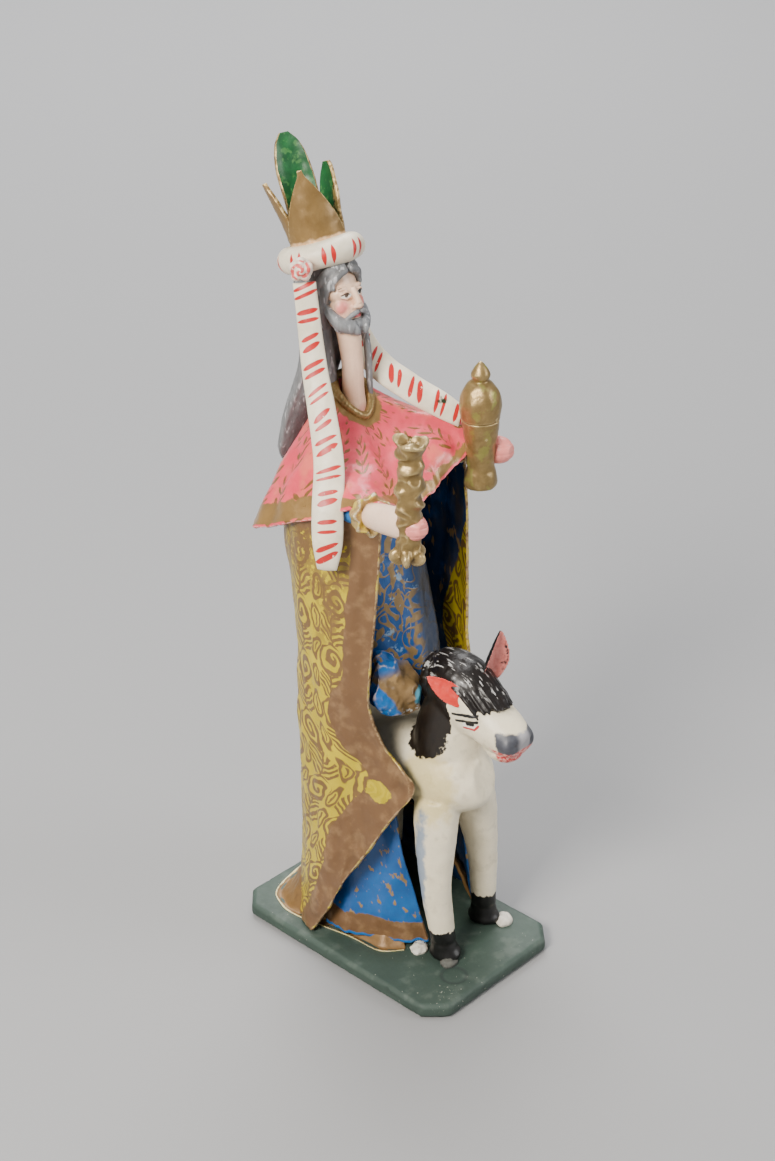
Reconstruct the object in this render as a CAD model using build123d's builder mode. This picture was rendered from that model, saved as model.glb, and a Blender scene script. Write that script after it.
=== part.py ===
"""Crowned king on a small horse: a folk-art nativity figure of stiffened cloth, paste and clay.

Millimetres, +Z up. The origin is the centre of the board's underside. King and horse face -Y,
so the figure's right side is -X and its left side is +X. Every piece is glued, nailed or wired.
"""
import math
import os

from build123d import *

os.makedirs("parts", exist_ok=True)

# ---- driving dimensions ----
BOARD_WIDTH = 92
BOARD_LENGTH = 139
BOARD_THICK = 8
BOARD_CORNER = 10
MID = 9                 # the figure stands a little left of the board's middle
CLOTH = 2.4             # cloth with glue, gesso and paint
LEG_SPREAD = 20.5       # half the distance between a pair of legs
LEG_LEAN = 6            # how far a foreleg leans forward over its height
HOOF_FRONT = -38        # y of the fore hooves
HOOF_BACK = 32          # y of the hind hooves
BARREL_HEIGHT = 105     # height of the middle of the horse's barrel
WIRE = 1.5
POST = 5                # radius of the wooden post
ARM_RADIUS = 6
HEAD_TILT = 12          # degrees that head leans back
RING_TILT = 20          # degrees that scarf ring and crown lean back
RING_CENTRE = (MID + 1, 57, 344.5)
RING_RADIUS = 14.3
RING_TUBE = 6.3
KNOT_CENTRE = (-14, 46.5, 344)
KNOT_RADIUS = 5
CROWN_RADIUS = 12.6
CROWN_FLARE = 0.14      # outward run of a crown leaf for each unit of its rise
CROWN_WALL = 1.6
BAND_HEIGHT = 5
LEAF_HEIGHT = 32
TALL_LEAF_HEIGHT = 47
ROLL_FOOT = (-35, -39.5, 239)
ROLL_TOP = (-35.5, -41, 295)
URN_FOOT = (49, -9.5, 233.5)
URN_LEAN = 2            # degrees that the urn leans towards -X
CUP_HEIGHT = 35
HAND_R_WRIST = (-31, -12, 249)
HAND_R_TIP = (-34.5, -50, 255)
HAND_L_WRIST = (52, 9, 250)
HAND_L_TIP = (59.5, -20, 254)

pieces = {}


def keep(name, part, material_colour):
    """Label a finished piece and remember it for the export at the end."""
    part.label = name
    part.color = Color(material_colour)
    pieces[name] = part


def main_solid(builder):
    """The largest solid of a finished block, without the crumbs that a cut can leave."""
    return builder.part.solids().sort_by(SortBy.VOLUME)[-1]


def mirrored(x):
    """The x on the other side of the figure's middle plane."""
    return 2 * MID - x


def along(start, end, share=0.0):
    """A plane at a share of the way from start to end, facing along that line."""
    a = Vector(*start)
    b = Vector(*end)
    return Plane(origin=a + (b - a) * share, z_dir=b - a)


def tilted(centre, degrees):
    """A plane whose normal leans back, towards +Y, by that many degrees."""
    lean = math.radians(degrees)
    return Plane(origin=centre, x_dir=(1, 0, 0), z_dir=(0, math.sin(lean), math.cos(lean)))


def inward(points, thickness):
    """The open line of points again, moved square to its run by the cloth's thickness."""
    moved = []
    last = len(points) - 1
    for i, (x, y) in enumerate(points):
        before = points[max(i - 1, 0)]
        after = points[min(i + 1, last)]
        run = (after[0] - before[0], after[1] - before[1])
        length = math.hypot(*run)
        moved.append((x + run[1] / length * thickness, y - run[0] / length * thickness))
    return moved


def cloth_solid(outside, inside, closed=False):
    """Closed solid between two grids of points, one for each face of a stiff cloth."""
    rows = len(outside)
    columns = len(outside[0])
    wrap = columns if closed else columns - 1
    corners = []
    for i in range(rows - 1):
        for j in range(wrap):
            k = (j + 1) % columns
            corners.append((outside[i][j], outside[i][k], outside[i + 1][k], outside[i + 1][j]))
            corners.append((inside[i][j], inside[i + 1][j], inside[i + 1][k], inside[i][k]))
        if not closed:
            for j in (0, columns - 1):
                corners.append((outside[i][j], outside[i + 1][j], inside[i + 1][j], inside[i][j]))
    for j in range(wrap):
        k = (j + 1) % columns
        for i in (0, rows - 1):
            corners.append((outside[i][j], inside[i][j], inside[i][k], outside[i][k]))
    faces = []
    for a, b, c, d in corners:
        faces.append(Face(Wire.make_polygon([a, b, c])))
        faces.append(Face(Wire.make_polygon([a, c, d])))
    return Solid(Shell(faces)).fix()


def hanging_cloth(sections, thickness=CLOTH):
    """A stiff cloth that hangs through open lines of points at rising heights.

    Every line has the same number of points, and its right-hand side is the inside of the cloth.
    """
    outside = [[Vector(x, y, z) for x, y in points] for z, points in sections]
    inside = [[Vector(x, y, z) for x, y in inward(points, thickness)] for z, points in sections]
    return cloth_solid(outside, inside)


# ---- board and what stands in it ----
with BuildPart() as base_board:
    with BuildSketch():
        Rectangle(BOARD_WIDTH, BOARD_LENGTH)
        chamfer(vertices(), BOARD_CORNER)
    extrude(amount=BOARD_THICK)
    fillet(base_board.faces().sort_by(Axis.Z)[-1].edges(), 1.5)
    with Locations((MID, 34, 0)):
        Hole(POST - 1, depth=5)

with BuildPart() as base_nails:
    for x, y in ((MID - 2, 34), (MID + 2, 34)):
        with BuildSketch(Plane.XY.offset(1.5)):
            with Locations((x, y)):
                Circle(1.7)
        extrude(amount=1)
        with BuildSketch(Plane.XY.offset(2.5)):
            with Locations((x, y)):
                Circle(0.8)
        extrude(amount=22)

with BuildPart() as armature_post:
    with BuildSketch(Plane.XY.offset(BOARD_THICK)):
        with Locations((MID, 34)):
            Circle(POST)
    extrude(amount=238 - BOARD_THICK)
    add(base_nails.part, mode=Mode.SUBTRACT)

with BuildPart() as base_board_final:
    add(base_board.part)
    add(base_nails.part, mode=Mode.SUBTRACT)

# ---- horse ----
leg_lines = {}
for side, x in (("right", MID - LEG_SPREAD), ("left", MID + LEG_SPREAD)):
    leg_lines["horse_foreleg_" + side] = ((x, HOOF_FRONT, BOARD_THICK), (x, HOOF_FRONT + LEG_LEAN, 92))
    leg_lines["horse_hind_leg_" + side] = ((x, HOOF_BACK, BOARD_THICK), (x, HOOF_BACK, 92))

with BuildPart() as horse_leg_wires:
    for foot, top in leg_lines.values():
        lean = (top[1] - foot[1]) / (top[2] - foot[2])
        start = (foot[0], foot[1] - lean * 5, 3)
        with BuildSketch(along(start, top)):
            Circle(WIRE / 2)
        extrude(amount=70)

with BuildPart() as horse_body:
    for y, half_width, half_height, z in (
        (-51, 9, 9, 108),
        (-44, 19, 16, 106),
        (-28, 25, 20, BARREL_HEIGHT),
        (0, 22, 19, BARREL_HEIGHT),
        (26, 23, 20, BARREL_HEIGHT),
        (40, 16, 15, BARREL_HEIGHT),
        (46, 7, 7, BARREL_HEIGHT),
    ):
        with BuildSketch(Plane(origin=(MID, y, z), x_dir=(1, 0, 0), z_dir=(0, 1, 0))):
            Ellipse(half_width, half_height)
    loft()

legs = {}
for name, (foot, top) in leg_lines.items():
    with BuildPart() as leg:
        for share, half_width, half_depth in (
            (0, 7.2, 8.2), (0.1, 6.4, 6.6), (0.45, 7, 7.4), (0.8, 10, 10.5), (1, 11.5, 12)
        ):
            z = foot[2] + (top[2] - foot[2]) * share
            y = foot[1] + (top[1] - foot[1]) * share
            with BuildSketch(Plane.XY.offset(z)):
                with Locations((foot[0], y)):
                    Ellipse(half_width, half_depth)
        loft()
        add(horse_body.part, mode=Mode.SUBTRACT)
        add(horse_leg_wires.part, mode=Mode.SUBTRACT)
    legs[name] = main_solid(leg)

with BuildPart() as board_drilled:
    add(base_board_final.part)
    add(horse_leg_wires.part, mode=Mode.SUBTRACT)

with BuildPart() as horse_neck:
    for y, z, half_width, half_depth, lean in (
        (-27, 108, 20, 19, 0), (-28, 124, 18.5, 18, 6), (-30, 140, 15.5, 15.5, 10), (-33, 152, 11, 11, 12)
    ):
        with BuildSketch(tilted((MID, y, z), -lean)):
            Ellipse(half_width, half_depth)
    loft()
    add(horse_body.part, mode=Mode.SUBTRACT)
    add(armature_post.part, mode=Mode.SUBTRACT)

POLL = (MID, -17, 155)
MUZZLE = (MID, -74, 133)
with BuildPart() as horse_head:
    for share, half_width, half_height in (
        (0, 6, 5), (0.12, 12, 11), (0.38, 14, 15), (0.62, 11.5, 12.5), (0.85, 10.5, 10), (1, 6.5, 6.5)
    ):
        head_plane = along(POLL, MUZZLE, share)
        with BuildSketch(Plane(origin=head_plane.origin, x_dir=(1, 0, 0), z_dir=head_plane.z_dir)):
            Ellipse(half_width, half_height)
    loft()

with BuildPart() as neck_joined:
    add(horse_neck.part)
    add(horse_head.part, mode=Mode.SUBTRACT)

ears = {}
for name, root, tip in (
    ("horse_ear_right", (-1, -35, 156), (-9, -26, 164)),
    ("horse_ear_left", (17, -37, 160), (22, -46, 184)),
):
    with BuildPart() as ear:
        for share, half_width, half_depth in ((0, 4.5, 3), (0.35, 5.5, 2.8), (0.75, 3.8, 2), (1, 1, 0.8)):
            with BuildSketch(along(root, tip, share)):
                Ellipse(half_width, half_depth)
        loft()
        add(horse_head.part, mode=Mode.SUBTRACT)
        add(horse_neck.part, mode=Mode.SUBTRACT)
    ears[name] = main_solid(ear)

with BuildPart() as horse_forelock:
    for share, half_width, half_height in ((0.02, 7, 6), (0.12, 13, 13), (0.36, 13.5, 16.4), (0.56, 5, 14.5)):
        head_plane = along(POLL, MUZZLE, share)
        with BuildSketch(Plane(origin=head_plane.origin, x_dir=(1, 0, 0), z_dir=head_plane.z_dir)):
            Ellipse(half_width, half_height)
    loft()
    add(horse_head.part, mode=Mode.SUBTRACT)
    add(horse_neck.part, mode=Mode.SUBTRACT)
    for ear_part in ears.values():
        add(ear_part, mode=Mode.SUBTRACT)
forelock_part = horse_forelock.part.solids().sort_by(Axis.Z)[-1]

with BuildPart() as plaster_fillets:
    for x, y in ((-11.5, -46.5), (32.5, -45), (-14, -27), (-11.5, 41), (29.5, 41)):
        with BuildSketch(Plane.XY.offset(BOARD_THICK)):
            with Locations((x, y)):
                Ellipse(4.5, 4)
        extrude(amount=3, taper=25)
    for leg_part in legs.values():
        add(leg_part, mode=Mode.SUBTRACT)

# ---- king: core, head, arms ----
with BuildPart() as torso_core:
    for z, y, half_width, half_depth in (
        (127, 33, 13, 13), (160, 32, 13, 13), (200, 33, 15, 12), (240, 34, 18, 12), (262, 35, 20, 10), (272, 36, 10, 7)
    ):
        with BuildSketch(Plane.XY.offset(z)):
            with Locations((MID, y)):
                Ellipse(half_width, half_depth)
    loft()
    add(horse_body.part, mode=Mode.SUBTRACT)
    add(armature_post.part, mode=Mode.SUBTRACT)

with BuildPart() as body_bored:
    add(horse_body.part)
    add(armature_post.part, mode=Mode.SUBTRACT)
    add(horse_leg_wires.part, mode=Mode.SUBTRACT)

with BuildPart() as neck_peg:
    with BuildSketch(Plane.XY.offset(240)):
        with Locations((MID, 36.5)):
            Circle(1.6)
    extrude(amount=66)

with BuildPart() as head_and_neck:
    for z, y, radius in ((272, 36.5, 7), (280, 36.5, 5.6), (296, 37, 5), (316, 41, 5.6)):
        with BuildSketch(Plane.XY.offset(z)):
            with Locations((MID, y)):
                Circle(radius)
    loft()
    for rise, half_width, half_depth in (
        (-17.5, 3.5, 3.5), (-14, 7.5, 8.5), (-7, 10.5, 12), (2, 11.6, 13.8), (10, 10.6, 12.5), (16.5, 6, 7)
    ):
        lean = math.radians(HEAD_TILT)
        centre = (MID, 46 + math.sin(lean) * rise, 327 + math.cos(lean) * rise)
        with BuildSketch(tilted(centre, HEAD_TILT)):
            Ellipse(half_width, half_depth)
    loft()
    add(neck_peg.part, mode=Mode.SUBTRACT)

SHOULDERS = {"right": (MID - 18, 34, 262), "left": (MID + 18, 34, 262)}
ELBOWS = {"right": (-22, 24, 238), "left": (41, 30, 242)}
WRISTS = {"right": HAND_R_WRIST, "left": HAND_L_WRIST}
TIPS = {"right": HAND_R_TIP, "left": HAND_L_TIP}
wires = {}
arms = {}
hands = {}
sleeves = {}
for side in ("right", "left"):
    inside_hand = tuple(w + (t - w) * 0.35 for w, t in zip(WRISTS[side], TIPS[side]))
    with BuildPart() as arm_wire:
        with BuildSketch(along(ELBOWS[side], inside_hand)):
            Circle(WIRE / 2)
        extrude(amount=(Vector(*inside_hand) - Vector(*ELBOWS[side])).length)
    wires[side] = arm_wire.part

    with BuildPart() as arm:
        with BuildSketch(along(SHOULDERS[side], ELBOWS[side])):
            Circle(ARM_RADIUS)
        extrude(amount=(Vector(*ELBOWS[side]) - Vector(*SHOULDERS[side])).length)
        with Locations(ELBOWS[side]):
            Sphere(ARM_RADIUS)
        with BuildSketch(along(ELBOWS[side], WRISTS[side])):
            Circle(ARM_RADIUS - 0.8)
        extrude(amount=(Vector(*WRISTS[side]) - Vector(*ELBOWS[side])).length * 0.9)
        add(torso_core.part, mode=Mode.SUBTRACT)
        add(arm_wire.part, mode=Mode.SUBTRACT)
    arms[side] = main_solid(arm)

    with BuildPart() as sleeve:
        with BuildSketch(along(ELBOWS[side], WRISTS[side], 0.9)):
            Circle(8)
        with BuildSketch(along(ELBOWS[side], WRISTS[side], 1.12)):
            Circle(9.5)
        loft()
        for piece in (arms[side], arm_wire.part):
            add(piece, mode=Mode.SUBTRACT)

    with BuildPart() as hand:
        for share, half_width, half_height in (
            (-0.05, 4.5, 5), (0.12, 6, 7), (0.5, 7, 8), (0.85, 6.4, 7), (1, 3, 3.4)
        ):
            with BuildSketch(along(WRISTS[side], TIPS[side], share)):
                Ellipse(half_width, half_height)
        loft()
        add(arm_wire.part, mode=Mode.SUBTRACT)
        add(arms[side], mode=Mode.SUBTRACT)
    hands[side] = hand.part

    with BuildPart() as cuff:
        add(sleeve.part)
        add(hand.part, mode=Mode.SUBTRACT)
    sleeves[side] = main_solid(cuff)

with BuildPart() as torso_bored:
    add(torso_core.part)
    for piece in (neck_peg.part, *wires.values()):
        add(piece, mode=Mode.SUBTRACT)

# ---- gifts ----
with BuildPart() as gift_roll:
    for share, radius in ((0, 7.4), (0.1, 6), (0.2, 5.4), (0.55, 6.4), (0.8, 5.8), (0.93, 6.6), (1, 7.8)):
        with BuildSketch(along(ROLL_FOOT, ROLL_TOP, share)):
            Circle(radius)
    loft()

with BuildPart() as hand_right_final:
    add(hands["right"])
    add(gift_roll.part, mode=Mode.SUBTRACT)
hands["right"] = main_solid(hand_right_final)

URN_PLANE = Plane(
    origin=URN_FOOT,
    x_dir=(1, 0, 0),
    z_dir=(-math.sin(math.radians(URN_LEAN)), 0, math.cos(math.radians(URN_LEAN))),
)

with BuildPart() as urn_cup:
    with BuildSketch(Plane.XZ):
        with BuildLine():
            Polyline((0, 0), (7.4, 0), (7.9, 2), (7.6, 7), (6.4, 11))
            Spline((6.4, 11), (7.3, 20), (8.8, 31), (8.6, CUP_HEIGHT))
            Line((8.6, CUP_HEIGHT), (0, CUP_HEIGHT))
            Line((0, CUP_HEIGHT), (0, 0))
        make_face()
    revolve(axis=Axis.Z)

with BuildPart() as urn_lid:
    with BuildSketch(Plane.XZ):
        with BuildLine():
            Line((0, CUP_HEIGHT), (8.7, CUP_HEIGHT))
            Spline((8.7, CUP_HEIGHT), (9.9, 43), (7.6, 50), (4, 54))
            Polyline((4, 54), (4.7, 56.5), (3, 60.5), (0, 63.5), (0, CUP_HEIGHT))
        make_face()
    revolve(axis=Axis.Z)

cup_part = URN_PLANE.location * urn_cup.part
lid_part = URN_PLANE.location * urn_lid.part

with BuildPart() as hand_left_final:
    add(hands["left"])
    add(cup_part, mode=Mode.SUBTRACT)
hands["left"] = main_solid(hand_left_final)
with BuildPart() as sleeve_left_final:
    add(sleeves["left"])
    add(cup_part, mode=Mode.SUBTRACT)
sleeves["left"] = main_solid(sleeve_left_final)

# ---- robes ----
core_parts = [torso_core.part, horse_body.part, horse_neck.part, horse_head.part]
arm_parts = [*arms.values(), *hands.values(), *sleeves.values(), *wires.values()]
leg_parts = list(legs.values())

tunic_sections = (
    (146, ((37, 30), (33, 2), (22, -7), (MID, -8), (-4, -7), (-15, 2), (-19, 30))),
    (180, ((35, 32), (31, 8), (20, 0), (MID, -1), (-2, 0), (-13, 8), (-17, 32))),
    (220, ((33, 34), (30, 16), (19, 9), (MID, 8), (-1, 9), (-12, 16), (-15, 34))),
    (262, ((29, 36), (27, 28), (18, 23), (MID, 22), (0, 23), (-9, 28), (-11, 36))),
)
tunic_sheet = hanging_cloth(tunic_sections)
with BuildPart() as tunic:
    add(tunic_sheet)
    for piece in [*core_parts, *arms.values(), *wires.values()]:
        add(piece, mode=Mode.SUBTRACT)
tunic_part = main_solid(tunic)

FOLD_BACK = (4, 4, 148)
FOLD_FRONT = (-14, -18, 143)
with BuildPart() as tunic_hem_fold:
    for share, half_width, half_height in ((0, 9, 6), (0.45, 12, 11), (0.8, 10, 9), (1, 6, 5)):
        fold_plane = along(FOLD_BACK, FOLD_FRONT, share)
        with BuildSketch(Plane(origin=fold_plane.origin, x_dir=(0.7, -0.7, 0), z_dir=fold_plane.z_dir)):
            Ellipse(half_width, half_height)
    loft()
    for piece in [*core_parts, tunic_part]:
        add(piece, mode=Mode.SUBTRACT)
fold_part = main_solid(tunic_hem_fold)

cloak_sections = (
    (9.5, ((-37, 14), (-39.5, 22), (-34, 34), (-22, 45), (-6, 53), (MID, 56), (24, 53), (40, 45), (52, 34),
           (57.5, 22), (55, 14))),
    (55, ((-27, -2), (-37, 12), (-36, 27), (-22, 42), (-6, 50), (MID, 53), (24, 50), (40, 42), (54, 27),
          (55, 12), (45, -2))),
    (100, ((-20, -22), (-30, -4), (-37, 14), (-29, 35), (-9, 49), (MID, 52), (27, 49), (47, 35), (55, 14),
           (48, -4), (38, -22))),
    (165, ((-19, -12), (-32, 2), (-37, 18), (-31, 37), (-9, 51), (MID, 54), (27, 51), (49, 37), (54, 20),
           (51, 6), (46, -2))),
    (236, ((-30, -12), (-37, 6), (-37, 22), (-31, 42), (-10, 58), (MID, 60), (28, 58), (48, 42), (55, 22),
           (54, 12), (50, 3))),
)
cloak_sheet = hanging_cloth(cloak_sections)
with BuildPart() as cloak:
    add(cloak_sheet)
    for piece in [*core_parts, tunic_part, fold_part, *leg_parts, *arm_parts]:
        add(piece, mode=Mode.SUBTRACT)
cloak_part = main_solid(cloak)

skirt_sections = (
    (BOARD_THICK + 3, ((-9.5, -31), (-22, -17), (-31, 4), (-33, 18))),
    (50, ((-13, -20), (-20, -8), (-27, 8), (-30, 20))),
    (98, ((-16.5, -11), (-18, -4), (-20, 8), (-22, 20))),
)
left_skirt_sections = [(z, [(mirrored(x), y) for x, y in points[::-1]]) for z, points in skirt_sections]
skirt_sheets = {"right": hanging_cloth(skirt_sections), "left": hanging_cloth(left_skirt_sections)}
skirts = {}
for side, sheet in skirt_sheets.items():
    with BuildPart() as skirt:
        add(sheet)
        for piece in [*core_parts, *leg_parts, cloak_part, horse_leg_wires.part]:
            add(piece, mode=Mode.SUBTRACT)
    skirts[side] = main_solid(skirt)

floor_cloth_sections = (
    (BOARD_THICK, ((-20, -24), (-29, -15), (-31, 4), (-37, 34), (-36, 48), (-26, 60), (MID, 66), (44, 60),
                   (54, 48), (55, 34), (49, 4), (47, -15), (38, -24))),
    (BOARD_THICK + 3, ((-17, -21), (-25, -12), (-27, 6), (-32, 34), (-31, 45), (-22, 55), (MID, 61), (40, 55),
                       (49, 45), (50, 34), (45, 6), (43, -12), (35, -21))),
    (40, ((-15, -4), (-19, 2), (-24, 12), (-27, 28), (-20, 37), (-10, 43), (MID, 47), (28, 43), (38, 37),
          (45, 28), (42, 12), (37, 2), (33, -4))),
)
floor_cloth_sheet = hanging_cloth(floor_cloth_sections)
with BuildPart() as floor_cloth:
    add(floor_cloth_sheet)
    for piece in [*leg_parts, cloak_part, *skirts.values(), plaster_fillets.part, armature_post.part]:
        add(piece, mode=Mode.SUBTRACT)
floor_cloth_part = main_solid(floor_cloth)

# ---- cape: a cone of cloth over the shoulders and both forearms ----
cape_rows = (
    ((9, 29, 272), (5, 30, 274), (1.5, 33, 278), (0, 38, 283), (2, 42, 286), (5, 45, 288),
     (9, 46, 288), (13, 45, 288), (16, 42, 286), (18, 38, 283), (16.5, 33, 278), (13, 30, 274)),
    ((9, 16, 262), (-1, 16, 264), (-11, 20, 267), (-15, 34, 272), (-12, 46, 270), (-4, 52, 268),
     (9, 54, 268), (22, 52, 268), (30, 46, 270), (34, 34, 273), (29, 20, 270), (19, 16, 265)),
    ((9, 0, 252), (-8, -2, 254), (-26, 2, 258), (-33, 22, 256), (-30, 49, 247), (-10, 61, 242),
     (9, 64, 241), (28, 61, 242), (47, 48, 247), (53, 24, 260), (46, 6, 265), (27, 0, 257)),
    ((9, -9, 242), (-8, -13, 245), (-30, -14, 254), (-41, 22, 238), (-39, 57, 223), (-14, 71, 218),
     (9, 74, 217), (32, 71, 218), (54, 57, 223), (60, 24, 244), (47, -4, 256), (27, -6, 247)),
)
CAPE_DROP = 2.6
cape_sheet = cloth_solid(
    [[Vector(*p) for p in row] for row in cape_rows],
    [[Vector(x, y, z - CAPE_DROP) for x, y, z in row] for row in cape_rows],
    closed=True,
)
with BuildPart() as cape:
    add(cape_sheet)
    for piece in [torso_core.part, tunic_part, cloak_part, cup_part, head_and_neck.part, *arm_parts]:
        add(piece, mode=Mode.SUBTRACT)
cape_part = main_solid(cape)

def neckline(grow, rise):
    """The cape's neckline again, larger by grow and higher by rise."""
    ring = []
    for x, y, z in cape_rows[0]:
        length = math.hypot(x - MID, y - 38)
        ring.append(Vector(x + (x - MID) / length * grow, y + (y - 38) / length * grow, z + rise))
    return ring


collar_ring = cloth_solid(
    [neckline(1.2, 3), neckline(1.2, 0)], [neckline(-1.2, 3), neckline(-1.2, 0)], closed=True
)
with BuildPart() as collar:
    add(collar_ring)
    for piece in (head_and_neck.part, cape_part):
        add(piece, mode=Mode.SUBTRACT)
collar_part = main_solid(collar)

# ---- head dress ----
with BuildPart() as scarf_ring:
    with Locations(tilted(RING_CENTRE, RING_TILT)):
        Torus(RING_RADIUS, RING_TUBE)
    add(head_and_neck.part, mode=Mode.SUBTRACT)

with BuildPart() as scarf_knot:
    with Locations(KNOT_CENTRE):
        Sphere(KNOT_RADIUS)
knot_part = scarf_knot.part

with BuildPart() as beard:
    for share, half_width, half_depth in ((0, 3, 2.5), (0.35, 7.5, 5.5), (0.8, 10, 6.5), (1, 7, 4)):
        with BuildSketch(along((MID, 30, 308), (MID, 37, 326), share)):
            Ellipse(half_width, half_depth)
    loft()
    add(head_and_neck.part, mode=Mode.SUBTRACT)
beard_part = main_solid(beard)

with BuildPart() as hair:
    for z, x, y, half_width, half_depth in (
        (352, MID, 58, 9, 9), (340, MID, 56, 12.6, 12), (326, MID, 53, 13.2, 14), (312, MID, 54, 12.5, 10),
        (292, MID - 1, 56, 12, 8), (268, MID - 3, 64, 13, 6), (247, MID - 5, 71, 12, 4.5), (240, MID - 6, 74, 6, 2.5)
    ):
        with BuildSketch(Plane.XY.offset(z)):
            with Locations((x, y)):
                Ellipse(half_width, half_depth)
    loft()
    for piece in (head_and_neck.part, scarf_ring.part, knot_part, beard_part, cape_part, collar_part):
        add(piece, mode=Mode.SUBTRACT)
    add(torso_core.part, mode=Mode.SUBTRACT)
hair_part = main_solid(hair)


def scarf_tail(route, widths, thickness, facing):
    """A flat padded strip that follows the route; facing is the way its flat side looks."""
    with BuildPart() as strip:
        last = len(route) - 1
        for i, point in enumerate(route):
            before = Vector(*route[max(i - 1, 0)])
            after = Vector(*route[min(i + 1, last)])
            run = (after - before).normalized()
            across = run.cross(Vector(*facing)).normalized()
            with BuildSketch(Plane(origin=point, x_dir=across, z_dir=run)):
                RectangleRounded(widths[i], thickness, thickness * 0.4)
        loft()
    return strip.part


tail_right_raw = scarf_tail(
    ((-13, 45, 336), (-15.5, 40, 318), (-18, 35, 300), (-23, 27, 284), (-30, 17, 264), (-37, 11, 246),
     (-42, 7, 232), (-43.5, 6, 219)),
    (8, 9, 10.5, 11.5, 12.5, 13, 13, 9),
    3,
    (-0.75, -0.55, 0.3),
)
tail_left_raw = scarf_tail(
    ((24, 60, 341), (25, 57, 322), (24, 49, 305), (27, 38, 291), (34, 24, 281), (42, 11, 273), (48, 3, 267)),
    (9, 11, 13, 14, 14, 13, 9),
    2.6,
    (-0.45, -0.6, 0.66),
)
with BuildPart() as scarf_tail_right:
    add(tail_right_raw)
    for piece in (scarf_ring.part, knot_part, hair_part, head_and_neck.part, cape_part, cloak_part, *arm_parts):
        add(piece, mode=Mode.SUBTRACT)
tail_right_part = main_solid(scarf_tail_right)
with BuildPart() as scarf_tail_left:
    add(tail_left_raw)
    for piece in (scarf_ring.part, hair_part, head_and_neck.part, cape_part, cup_part, lid_part, collar_part):
        add(piece, mode=Mode.SUBTRACT)
tail_left_part = main_solid(scarf_tail_left)

# ---- crown ----
lean = math.radians(RING_TILT)
CROWN_RISE = 6.2        # the crown's foot above the middle of the scarf ring
CROWN_CENTRE = (
    RING_CENTRE[0],
    RING_CENTRE[1] + CROWN_RISE * math.sin(lean),
    RING_CENTRE[2] + CROWN_RISE * math.cos(lean),
)


def crown_wall(bottom, top):
    """A flared ring of the crown's wall between two heights above its foot."""
    with BuildPart() as wall:
        with BuildSketch(Plane.XZ):
            with BuildLine():
                Polyline(
                    (CROWN_RADIUS + CROWN_FLARE * bottom, bottom),
                    (CROWN_RADIUS + CROWN_FLARE * top, top),
                    (CROWN_RADIUS + CROWN_FLARE * top - CROWN_WALL, top),
                    (CROWN_RADIUS + CROWN_FLARE * bottom - CROWN_WALL, bottom),
                    close=True,
                )
            make_face()
        revolve(axis=Axis.Z)
    return wall.part


crown_place = tilted(CROWN_CENTRE, RING_TILT).location
with BuildPart() as crown_band:
    add(crown_place * crown_wall(0, BAND_HEIGHT))
band_part = crown_band.part

leaves = {}
for name, azimuth, height, half_width, pointed in (
    ("crown_leaf_front_right", 225, LEAF_HEIGHT, 9.2, True),
    ("crown_leaf_front_left", 315, LEAF_HEIGHT, 5.2, False),
    ("crown_leaf_back_left", 45, TALL_LEAF_HEIGHT, 7, False),
    ("crown_leaf_back_right", 135, LEAF_HEIGHT - 2, 5, True),
):
    with BuildPart() as leaf:
        add(crown_wall(BAND_HEIGHT, height))
        turn = math.radians(azimuth)
        outward = (math.cos(turn), math.sin(turn), 0)
        with BuildSketch(Plane(origin=(0, 0, 0), x_dir=(-math.sin(turn), math.cos(turn), 0), z_dir=outward)):
            with BuildLine():
                if pointed:
                    Polyline((-half_width, BAND_HEIGHT), (half_width, BAND_HEIGHT), (1, height), (-1, height),
                             close=True)
                else:
                    Line((-half_width * 0.75, BAND_HEIGHT), (half_width * 0.75, BAND_HEIGHT))
                    Spline((half_width * 0.75, BAND_HEIGHT), (half_width, height * 0.45),
                           (half_width * 0.55, height * 0.88), (0, height))
                    Spline((0, height), (-half_width * 0.55, height * 0.88), (-half_width, height * 0.45),
                           (-half_width * 0.75, BAND_HEIGHT))
            make_face()
        extrude(amount=40, mode=Mode.INTERSECT)
    leaves[name] = crown_place * leaf.part

# ---- labels, colours and export ----
keep("base_board", board_drilled.part, "darkslategray")
keep("base_nails", base_nails.part, "gray")
keep("armature_post", armature_post.part, "burlywood")
keep("horse_leg_wires", horse_leg_wires.part, "gray")
keep("horse_body", body_bored.part, "ivory")
keep("horse_neck", neck_joined.part, "ivory")
keep("horse_head", horse_head.part, "ivory")
keep("horse_forelock", forelock_part, "black")
for name, part in {**legs, **ears}.items():
    keep(name, part, "ivory")
keep("plaster_fillets", plaster_fillets.part, "white")
keep("torso_core", torso_bored.part, "tan")
keep("neck_peg", neck_peg.part, "gray")
keep("head_and_neck", head_and_neck.part, "bisque")
keep("hair", hair_part, "gray")
keep("beard", beard_part, "gray")
for side in ("right", "left"):
    keep("arm_wire_" + side, wires[side], "gray")
    keep("arm_" + side, arms[side], "tan")
    keep("sleeve_" + side, sleeves[side], "gold")
    keep("hand_" + side, hands[side], "bisque")
    keep("skirt_" + side, skirts[side], "steelblue")
keep("gift_roll", gift_roll.part, "goldenrod")
keep("urn_cup", cup_part, "goldenrod")
keep("urn_lid", lid_part, "goldenrod")
keep("tunic", tunic_part, "steelblue")
keep("tunic_hem_fold", fold_part, "peru")
keep("cloak", cloak_part, "gold")
keep("floor_cloth", floor_cloth_part, "tan")
keep("cape", cape_part, "lightcoral")
keep("collar", collar_part, "goldenrod")
keep("scarf_ring", scarf_ring.part, "ivory")
keep("scarf_knot", knot_part, "salmon")
keep("scarf_tail_right", tail_right_part, "ivory")
keep("scarf_tail_left", tail_left_part, "ivory")
keep("crown_band", band_part, "goldenrod")
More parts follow.
